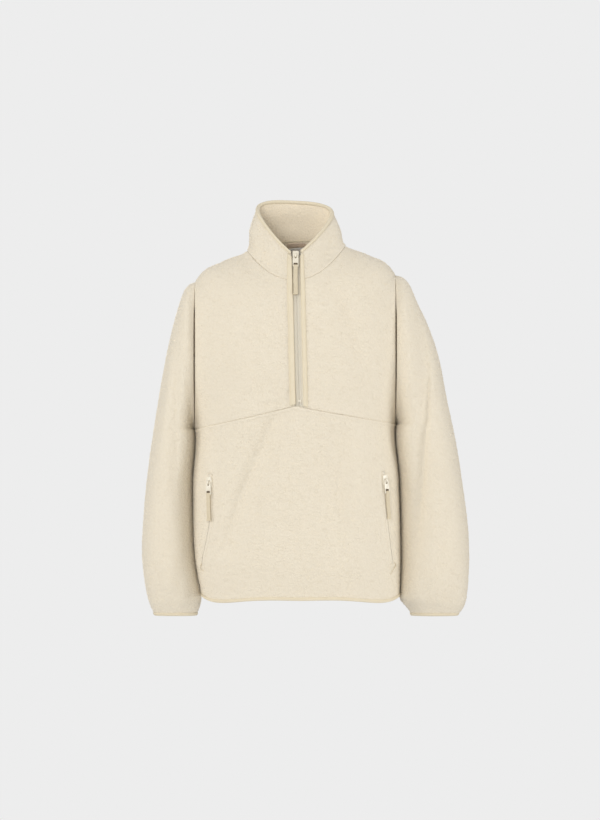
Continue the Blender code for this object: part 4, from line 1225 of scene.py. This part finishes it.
def makePocketZips():
    made = {}
    for side, route in pocketRoutes.items():
        stations = pocket["stations"]
        spots = throughRows(np.array(route, float), np.linspace(0, len(route) - 1, stations))
        level = [frontLevel(x, z) for x, z in spots]
        points, outs = bodyAtX(np.array(level), spots[:, 0])
        ahead = np.gradient(points, axis=0)
        across = unitRows(np.cross(ahead, outs))
        strip = sweep(f"pocketZip{side.title()}", points, outs, across,
                      ((.3, -3.2), (.3, 3.2), (.8, 3.2), (.9, 1.5), (.55, .0), (.9, -1.5),
                       (.8, -3.2)), "tape")
        teeth = rowOf("pocketTeeth", points + outs * .8, outs, 1.5, (.45, 1.0, .35), "coil")
        lips = []
        for sign in (-1, 1):
            gap, reach = pocket["lipGap"], pocket["lipReach"]
            profile = [(.95, gap + .5), (1.15, gap), (1.5, gap + .1), (1.85, gap + .9),
                       (1.95, gap + 2.0), (1.75, gap + 3.4), (1.1, gap + 4.9), (.3, reach),
                       (-.7, reach + .6), (-.9, reach - 1.6), (.1, reach - 1.9), (.95, 3.6)]
            rise = np.linspace(0, 8, stations)
            fade = np.clip(np.minimum(rise, rise[::-1]), .35, 1)
            profile = [(out, sign * up) for out, up in profile]
            lips.append(sweep(f"lip{side}{sign}", points, outs, across, profile, "cloth",
                              scale=.55 + .45 * fade))
        made[f"pocket_zip_{side}"] = joined(f"pocketZip{side.title()}", [strip, teeth])
        lips = joined(f"pocketLips{side.title()}", lips)
        weight = lips.data.attributes.new("pile", "FLOAT", "POINT")
        weight.data.foreach_set("value", np.full(len(lips.data.vertices), .9, np.float32))
        made[f"lips_{side}"] = lips
        tail = throughRows(np.array(zipTails[side], float), np.linspace(0, 3, 26))
        level = np.array([frontLevel(x, z) for x, z in tail])
        points, outs = bodyAtX(level, tail[:, 0])
        points = points + outs * (.6 + 1.1 * np.sin(np.linspace(0, math.pi, 26)))[:, None]
        across = unitRows(np.cross(np.gradient(points, axis=0), outs))
        turn = np.linspace(0, 2 * math.pi, 9)[:-1]
        made[f"tail_{side}"] = sweep(f"zipTail{side.title()}", points, outs, across,
                                     np.stack([np.cos(turn), np.sin(turn)], -1) * .75, "ribbon",
                                     scale=np.linspace(1, .5, 26))
    return made


# sliders, tabs and ribbon pulls, in a frame of across, down and out at the hinge

pullFrames = {"neck": ("neck_pull", (0, -.404, -.9147), 80.0),
              "pocket_left": ("pocket_left_pull", (.017, -.0122, -.9998), 71.0),
              "pocket_right": ("pocket_right_pull", (.0749, .0626, -.9952), 71.5)}
slider = {"half": 5.8, "above": 10.0, "below": 9.0, "thick": 2.6, "edge": .7,
          "rise": 4.3, "bridgeHalf": 1.7, "bridgeThick": 1.1}
tab = {"half": 5.4, "start": -.7, "end": 24.0, "thick": 1.4, "edge": .38, "round": 2.4}
ribbon = {"half": 3.9, "loop": 1.45, "thick": .8, "loopEnd": 24.4, "flat": 34.0,
          "squeeze": .55, "bar": 3.6, "barHalf": 4.3}


def pullFrame(name):
    body, down, end = pullFrames[name]
    joint = next(j for j in frame["joints"] if j["child"] == body)
    down, axis = unitRows(np.array(down)), unitRows(np.array(joint["axis"]))
    out = unitRows(np.cross(axis, down))
    across = unitRows(np.cross(down, out))
    return np.array(joint["pos_m"]) / mm, across, down, np.cross(across, down), end


def roundedOutline(corners, steps=6):
    # a closed outline with a radius at each corner, as (x, y, radius)
    line = []
    count = len(corners)
    for i, (x, y, radius) in enumerate(corners):
        before = np.array(corners[i - 1][:2]) - (x, y)
        after = np.array(corners[(i + 1) % count][:2]) - (x, y)
        before, after = before / np.linalg.norm(before), after / np.linalg.norm(after)
        half = math.acos(max(min(float(before @ after), 1), -1)) / 2
        reach = radius / math.tan(half)
        middle = np.array((x, y)) + (before + after) / np.linalg.norm(before + after) * (
            radius / math.sin(half))
        start = np.array((x, y)) + before * reach - middle
        end = np.array((x, y)) + after * reach - middle
        first, last = math.atan2(start[1], start[0]), math.atan2(end[1], end[0])
        sweepBy = (last - first + math.pi) % (2 * math.pi) - math.pi
        for k in range(steps + 1):
            angle = first + sweepBy * k / steps
            line.append(tuple(middle + radius * np.array((math.cos(angle), math.sin(angle)))))
    return line


def plate(name, outlines, thick, edge, place, finish, rise=0.0):
    # a flat plate with holes and rounded edges; outlines are in (across, down)
    flat = bpy.data.curves.new(name, "CURVE")
    flat.dimensions = "2D"
    flat.fill_mode = "BOTH"
    flat.extrude = thick / 2 - edge
    flat.bevel_depth = edge
    flat.bevel_resolution = 3
    flat.offset = -edge
    for outline in outlines:
        spline = flat.splines.new("POLY")
        spline.points.add(len(outline) - 1)
        for point, (x, y) in zip(spline.points, outline):
            point.co = (x, y, 0, 1)
        spline.use_cyclic_u = True
    holder = bpy.data.objects.new(name, flat)
    bpy.context.scene.collection.objects.link(holder)
    graph = bpy.context.evaluated_depsgraph_get()
    mesh = bpy.data.meshes.new_from_object(holder.evaluated_get(graph), depsgraph=graph)
    bpy.data.objects.remove(holder)
    spot = readMesh(mesh.vertices, "co", float, 3)
    origin, across, down, out = place
    world = origin + spot[:, :1] * across + spot[:, 1:2] * down + (spot[:, 2:] + rise) * out
    mesh.vertices.foreach_set("co", (world * mm).reshape(-1))
    made = bpy.data.objects.new(name, mesh)
    bpy.context.scene.collection.objects.link(made)
    work = bmesh.new()
    work.from_mesh(mesh)
    bmesh.ops.remove_doubles(work, verts=work.verts, dist=1e-6)
    work.to_mesh(mesh)
    work.free()
    outward(made)
    mesh.shade_smooth()
    mesh.set_sharp_from_angle(angle=math.radians(40))
    mesh.materials.clear()
    mesh.materials.append(finishes[finish])
    return made


def makeSlider(name):
    hinge, across, down, out, unused = pullFrame(name)
    low = -slider["rise"]
    place = (hinge, across, down, out)
    half, above, below = slider["half"], slider["above"], slider["below"]
    outline = roundedOutline(((-half, -above, 2.6), (half, -above, 2.6),
                              (half, -1.0, 3.0), (half * .78, below, 1.8),
                              (-half * .78, below, 1.8), (-half, -1.0, 3.0)))
    shell = plate(f"{name}Body", [outline], slider["thick"], slider["edge"], place, "enamel",
                  low + slider["thick"] / 2)
    top = slider["thick"]
    path = np.array([(-3.6, top - .4), (-3.55, top + 1.2), (-3.2, top + 2.6), (-2.4, top + 3.35),
                     (-1.2, top + 3.6), (0, top + 3.66), (1.2, top + 3.6), (2.4, top + 3.35),
                     (3.2, top + 2.6), (3.55, top + 1.2), (3.6, top - .4)])
    points = hinge + path[:, :1] * down + (path[:, 1:] + low) * out
    ahead = unitRows(np.gradient(points, axis=0))
    outs = unitRows(np.cross(np.broadcast_to(across, ahead.shape), ahead))
    half, thick = slider["bridgeHalf"], slider["bridgeThick"] / 2
    profile = [(-thick, -half + .3), (-thick, half - .3), (-thick * .6, half), (thick * .6, half),
               (thick, half - .3), (thick, -half + .3), (thick * .6, -half),
               (-thick * .6, -half)]
    bridge = sweep(f"{name}Bridge", points, outs,
                   np.broadcast_to(across, points.shape), profile, "enamel")
    # a thin dark plate on the slider under the tab's eye: painted shadow that makes the eye read
    # as a deep hole
    eyeShadow = plate(f"{name}Pin", [roundedOutline(((-1.25, 4.1, 1.2), (1.25, 4.1, 1.2),
                                               (1.25, 6.6, 1.2), (-1.25, 6.6, 1.2)))], .3, .08,
                place, "shade", low + slider["thick"] + .1)
    return joined(f"{name}Slider", [shell, bridge, eyeShadow])


def makePull(name):
    hinge, across, down, out, end = pullFrame(name)
    place = (hinge, across, down, out)
    half = tab["half"]
    outline = roundedOutline(((-half * .82, tab["start"], .6), (half * .82, tab["start"], .6),
                              (half, 6, 5.0), (half, tab["end"], tab["round"]),
                              (-half, tab["end"], tab["round"]), (-half, 6, 5.0)))
    eye = roundedOutline(((-2.7, .7, 1.0), (2.7, .7, 1.0), (2.3, 6.3, 2.0), (-2.3, 6.3, 2.0)))
    slot = roundedOutline(((-3.6, 15.6, 1.0), (3.6, 15.6, 1.0), (4.2, 20.4, 1.6),
                           (-4.2, 20.4, 1.6)))
    tabPiece = plate(f"{name}Tab", [outline, eye, slot], tab["thick"], tab["edge"], place,
                     "enamel")
    # a thin dark plate behind the tab's slot: painted shadow that makes the slot read as a deep
    # hole
    slotShadow = plate(f"{name}SlotShadow", [roundedOutline(((-4.3, 16.1, .9), (4.3, 16.1, .9),
                                                     (4.3, 19.2, .6), (-4.3, 19.2, .6)))],
                   .3, .08, place, "shade", -.45)
    tabPiece = joined(f"{name}Tab", [tabPiece, slotShadow])
    loop, tight = ribbon["loop"], ribbon["loop"] * ribbon["squeeze"]
    bar = end - ribbon["bar"]
    run = np.linspace(0, 1, 40)
    lower = np.stack([bar + 1 - (bar + 1 - ribbon["flat"]) * run, run * 0 + tight * .72], -1)
    widen = np.linspace(0, 1, 10)[1:]
    upper = np.stack([ribbon["flat"] - (ribbon["flat"] - ribbon["loopEnd"]) * widen,
                      tight * .72 + (loop - tight * .72) * (1 - np.cos(widen * math.pi)) / 2], -1)
    turn = np.linspace(0, math.pi, 13)
    straight = np.array([(22.9, loop), (21.7, loop)])
    bend = np.stack([21.1 - loop * np.sin(turn), loop * np.cos(turn)], -1)
    path = np.vstack([lower, upper, straight, bend])
    back = path[:-13][::-1] * (1, -1)
    path = np.vstack([path, back])
    sway = .35 * np.sin((path[:, 0] - 24) / 11) * np.clip((path[:, 0] - 28) / 20, 0, 1)
    points = hinge + path[:, :1] * down + path[:, 1:] * out + sway[:, None] * across
    flat = hinge + path[:, :1] * down + path[:, 1:] * out
    ahead = unitRows(np.gradient(flat, axis=0))
    outs = unitRows(np.cross(ahead, np.broadcast_to(across, ahead.shape)))
    wide, thin = ribbon["half"], ribbon["thick"] / 2
    profile = [(-thin, -wide + .4), (-thin, wide - .4), (-thin * .5, wide), (thin * .5, wide),
               (thin, wide - .4), (thin, 2.2), (thin * .35, 1.75), (thin, 1.3), (thin, -1.3),
               (thin * .35, -1.75), (thin, -2.2), (thin, -wide + .4), (thin * .5, -wide),
               (-thin * .5, -wide)]
    side = 1 if np.dot(outs[5], out) > 0 else -1
    profile = [(side * a, b) for a, b in profile]
    strap = sweep(f"{name}Strap", points, outs, np.broadcast_to(across, points.shape), profile,
                  "ribbon")
    barHalf = ribbon["barHalf"]
    block = roundedOutline(((-barHalf, bar, .8), (barHalf, bar, .8), (barHalf, end, .8),
                            (-barHalf, end, .8)))
    barPiece = plate(f"{name}Bar", [block], 3.0, .6, place, "ribbon")
    flatMap(barPiece, hinge, across, down)
    ribbonPiece = joined(f"{name}Ribbon", [strap, barPiece])
    return tabPiece, ribbonPiece


def flatMap(made, origin, across, down):
    spot = readMesh(made.data.vertices, "co", float, 3) / mm - origin
    gridMap(made, spot @ down, spot @ across)


# inside the neck: label, hanger loop and the taped seam

neckInside = {
    "label": {"name": "neckLabel", "middle": -4.6, "half": 15, "low": 6.12, "high": 6.69,
              "thick": .8, "edge": .5, "wave": 0.0, "finish": "label"},
    "loop": {"name": "hangerLoop", "middle": -4.0, "half": 17, "low": 6.75, "high": 6.95,
             "thick": 1.2, "edge": .7, "wave": .5, "finish": "loop"},
    "tape": {"name": "neckSeamTape", "middle": -5.0, "half": 74, "low": 6.99, "high": 7.07,
             "thick": .9, "edge": .7, "wave": 0.0, "finish": "binding"}}
neckStitch = {"pitch": 1.9, "size": (.62, .22, .2)}


def insideStrip(size):
    share = np.linspace(1, -1, 34)
    grid, normals = [], []
    for here in np.linspace(size["low"], size["high"], 16):
        point, normal = bodyAtX(np.full(34, here), size["middle"] + size["half"] * share, "back")
        lift = cloth["wall"] + .6 + size["wave"] * np.cos(share * math.pi / 2)
        grid.append(point - normal * lift[:, None])
        normals.append(normal)
    grid, normals = np.stack(grid), np.stack(normals)
    away = edgeAway(grid, ("top", "bottom", "first", "last"))
    roll = np.clip(1 - away / size["edge"], 0, 1)
    thick = size["thick"]
    drop = thick / 2 * (1 - np.sqrt(np.maximum(1 - roll ** 2, 0)))
    far = grid - normals * (thick - drop)[..., None]
    piece = slab(size["name"], grid - normals * drop[..., None], far, arcSteps(grid, 1),
                 arcSteps(grid), size["finish"], reverse=True)
    return piece, far, -normals


def makeInside():
    made = {}
    for name, size in neckInside.items():
        made[name], grid, outs = insideStrip(size)
        if name != "tape":
            ends = [rowOf(f"{name}Stitches{column}", grid[:, column], outs[:, column],
                          neckStitch["pitch"], neckStitch["size"], "thread", .1)
                    for column in (2, -3)]
            made[f"{name}_stitches"] = joined(f"{name}Stitches", ends)
    return made


zipStop = {"half": 3.4, "high": 2.2, "thick": 1.7, "level": 3.1, "above": 3.4, "depth": 4.9}


def makeZipStop():
    level = np.array([zipStop["level"], zipStop["above"]])
    (point, above), (normal, unused) = bodyAtX(level, zipX(level))
    up = unitRows(above - point)
    across = unitRows(np.cross(up, normal))
    origin = point - normal * zipStop["depth"]
    half, high = zipStop["half"], zipStop["high"]
    block = roundedOutline(((-half, -high, .9), (half, -high, .9), (half, high, .9),
                            (-half, high, .9)))
    return plate("zipStop", [block], zipStop["thick"], .5, (origin, across, up, normal), "enamel",
                 zipStop["thick"] / 2)


# putting the pieces together on their bodies

def place(made, body="root", nodes=(), slot=None):
    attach(made, body)
    if nodes:
        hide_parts(*nodes)
    return made


def signedVolume(made):
    work = bmesh.new()
    work.from_mesh(made.data)
    size = work.calc_volume(signed=True)
    openEdges = sum(1 for edge in work.edges if len(edge.link_faces) != 2)
    work.free()
    return size * 1e6, openEdges


def gridArea(grid, closed=False):
    if closed:
        grid = np.concatenate([grid, grid[:, :1]], 1)
    down, across = np.diff(grid, axis=0), np.diff(grid, axis=1)
    return float(np.linalg.norm(np.cross(down[:, :-1], across[:-1]), axis=-1).sum()) * mm * mm


print("cloth")
shells = {**makePanels(), **makeSleeves()}
nodesOf = {"sleeve_left": ("sleeve_left_front", "sleeve_left_back"),
           "sleeve_right": ("sleeve_right_front", "sleeve_right_back")}
ownPieces = {}
for seed, (name, (shell, grid)) in enumerate(shells.items(), 3):
    volume, loose = signedVolume(shell)
    print(f"  {name}: {len(shell.data.polygons)} faces, {volume:.0f} cm3, {loose} open edges, "
          f"{gridArea(grid, name.startswith('sleeve')):.4f} m2")
    shell.data.materials.append(finishes["cloth"])
    shell.data.materials.append(finishes["inside"])
    tufts = tufted(shell, 1, seed)
    place(tufts, slot="fleece")
    place(shell, nodes=nodesOf.get(name, (name,)), slot="fleece")
    ownPieces[name] = [tufts]
print("bindings")
bindings = makeBindings()
for name, (strip, stitches) in bindings.items():
    place(strip, nodes=(name,), slot="binding")
    place(stitches, slot="binding")
print("zips")
zips = makeZip()
place(zips.pop("coil"), slot="zip_tape")
for name, piece in zips.items():
    place(piece, nodes=(name,), slot="zip_tape")
for name, piece in makePocketZips().items():
    if name.startswith("lips"):
        for part in (piece, tufted(piece, pile["lipShare"], 29)):
            place(part, slot="fleece")
            ownPieces["front_lower"].append(part)
    elif name.startswith("tail"):
        place(piece, slot="ribbon")
    else:
        place(piece, nodes=(name,), slot="zip_tape")
place(makeZipStop(), nodes=("zip_stop",), slot="zip_metal")
print("pulls")
for name, (body, unused, unused) in pullFrames.items():
    place(makeSlider(name), nodes=(f"{name}_slider",), slot="zip_metal")
    tabPiece, ribbonPiece = makePull(name)
    place(tabPiece, body, (f"{name}_tab",), "zip_metal")
    place(ribbonPiece, body, (f"{name}_ribbon",), "ribbon")
print("inside the neck")
inside = makeInside()
place(inside["label"], nodes=("neck_label",), slot="label")
place(inside["loop"], nodes=("hanger_loop",), slot="loop")
place(inside["tape"], slot="binding")
place(inside["label_stitches"], slot="label")
place(inside["loop_stitches"], slot="loop")

# the flat cut of each sheet: width and length of its piece, and its area, in metres; a sleeve's
# width is its whole girth at the armhole
cuts = {"front_lower": (.550, .360, .178), "front_upper_left": (.270, .460, .064),
        "front_upper_right": (.260, .460, .061), "back": (.530, .765, .308),
        "collar": (.545, .084, .033), "sleeve_left": (.695, .645, .190),
        "sleeve_right": (.700, .670, .219)}
trims = {"front_lower": (), "front_upper_left": ("zip_binding_left",),
         "front_upper_right": ("zip_binding_right",), "back": ("hem_binding",),
         "collar": ("collar_binding",), "sleeve_left": ("cuff_binding_left",),
         "sleeve_right": ("cuff_binding_right",)}
ownPieces["front_upper_left"].append(zips["zip_tape_left"])
ownPieces["front_upper_right"].append(zips["zip_tape_right"])
ownPieces["back"] += [inside["label"], inside["loop"], inside["tape"]]
for name, (width, length, area) in cuts.items():
    for trim in trims[name]:
        ownPieces[name] += bindings[trim]


# light, floor and camera

stage = {"grey": .847, "ambient": .49, "floorLevel": -1.3, "floorRadius": 1.6,
         "floorGrey": .84, "aim": (0, 0, -.3)}
lights = (("frontLight", (-1.6, -5.4, .7), 2.6, 128, (1.0, .985, .96)),
          ("leftLight", (-4.4, -2.2, .6), 2.2, 62, (1.0, .985, .96)),
          ("rightLight", (4.7, -1.8, -.5), 2.4, 100, (1.0, .99, .975)),
          ("topLight", (.2, -.4, 3.4), 2.4, 22, (1.0, 1.0, 1.0)))


def makeStage():
    world = bpy.data.worlds.new("studio")
    bpy.context.scene.world = world
    world.use_nodes = True
    tree = world.node_tree
    tree.nodes.clear()
    seen = tree.nodes.new("ShaderNodeLightPath")
    paper, air, mix = (tree.nodes.new(kind) for kind in (
        "ShaderNodeBackground", "ShaderNodeBackground", "ShaderNodeMixShader"))
    result = tree.nodes.new("ShaderNodeOutputWorld")
    paper.inputs["Color"].default_value = (stage["grey"],) * 3 + (1,)
    air.inputs["Strength"].default_value = stage["ambient"]
    tree.links.new(seen.outputs["Is Camera Ray"], mix.inputs[0])
    tree.links.new(air.outputs[0], mix.inputs[1])
    tree.links.new(paper.outputs[0], mix.inputs[2])
    tree.links.new(mix.outputs[0], result.inputs[0])
    turn = np.linspace(0, 2 * math.pi, 65)[:-1]
    rim = [(stage["floorRadius"] * math.cos(t), stage["floorRadius"] * math.sin(t),
            stage["floorLevel"]) for t in turn]
    floorMesh = bpy.data.meshes.new("floor")
    floorMesh.from_pydata(rim, [], [tuple(range(64))])
    floor = bpy.data.objects.new("floor", floorMesh)
    bpy.context.scene.collection.objects.link(floor)
    paint = Shader("floorPaper")
    grey = (stage["floorGrey"],) * 3
    floorMesh.materials.append(paint.finish(Base_Color=(*grey, 1), Roughness=.9))
    floor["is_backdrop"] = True
    middle = Vector(stage["aim"])
    for name, spot, size, power, colour in lights:
        lamp = bpy.data.lights.new(name, "AREA")
        lamp.shape, lamp.size, lamp.energy, lamp.color = "SQUARE", size, power, colour
        holder = bpy.data.objects.new(name, lamp)
        holder.location = spot
        holder.visible_camera = False
        holder.rotation_euler = (middle - Vector(spot)).to_track_quat("-Z", "Y").to_euler()
        bpy.context.scene.collection.objects.link(holder)
    bpy.context.scene.view_settings.view_transform = "Standard"


view = {"lens": 189.85, "sensor": 36, "farthest": 60, "spot": (.0028, -8.05, -.296)}


def makeCamera():
    camera = bpy.data.cameras.new("camera")
    camera.lens, camera.sensor_width = view["lens"], view["sensor"]
    camera.clip_end = view["farthest"]
    holder = bpy.data.objects.new("camera", camera)
    holder.location = view["spot"]
    holder.rotation_euler = (math.pi / 2, 0, 0)
    bpy.context.scene.collection.objects.link(holder)
    bpy.context.scene.camera = holder


print("light and camera")
makeStage()
makeCamera()
bpy.context.view_layer.update()
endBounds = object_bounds()
sizes = {"before": [list(corner) for corner in startBounds],
         "after": [list(corner) for corner in endBounds]}
for key, (low, high) in sizes.items():
    print(f"  {key}: {[round((h - l) * 1000, 1) for l, h in zip(low, high)]} mm")
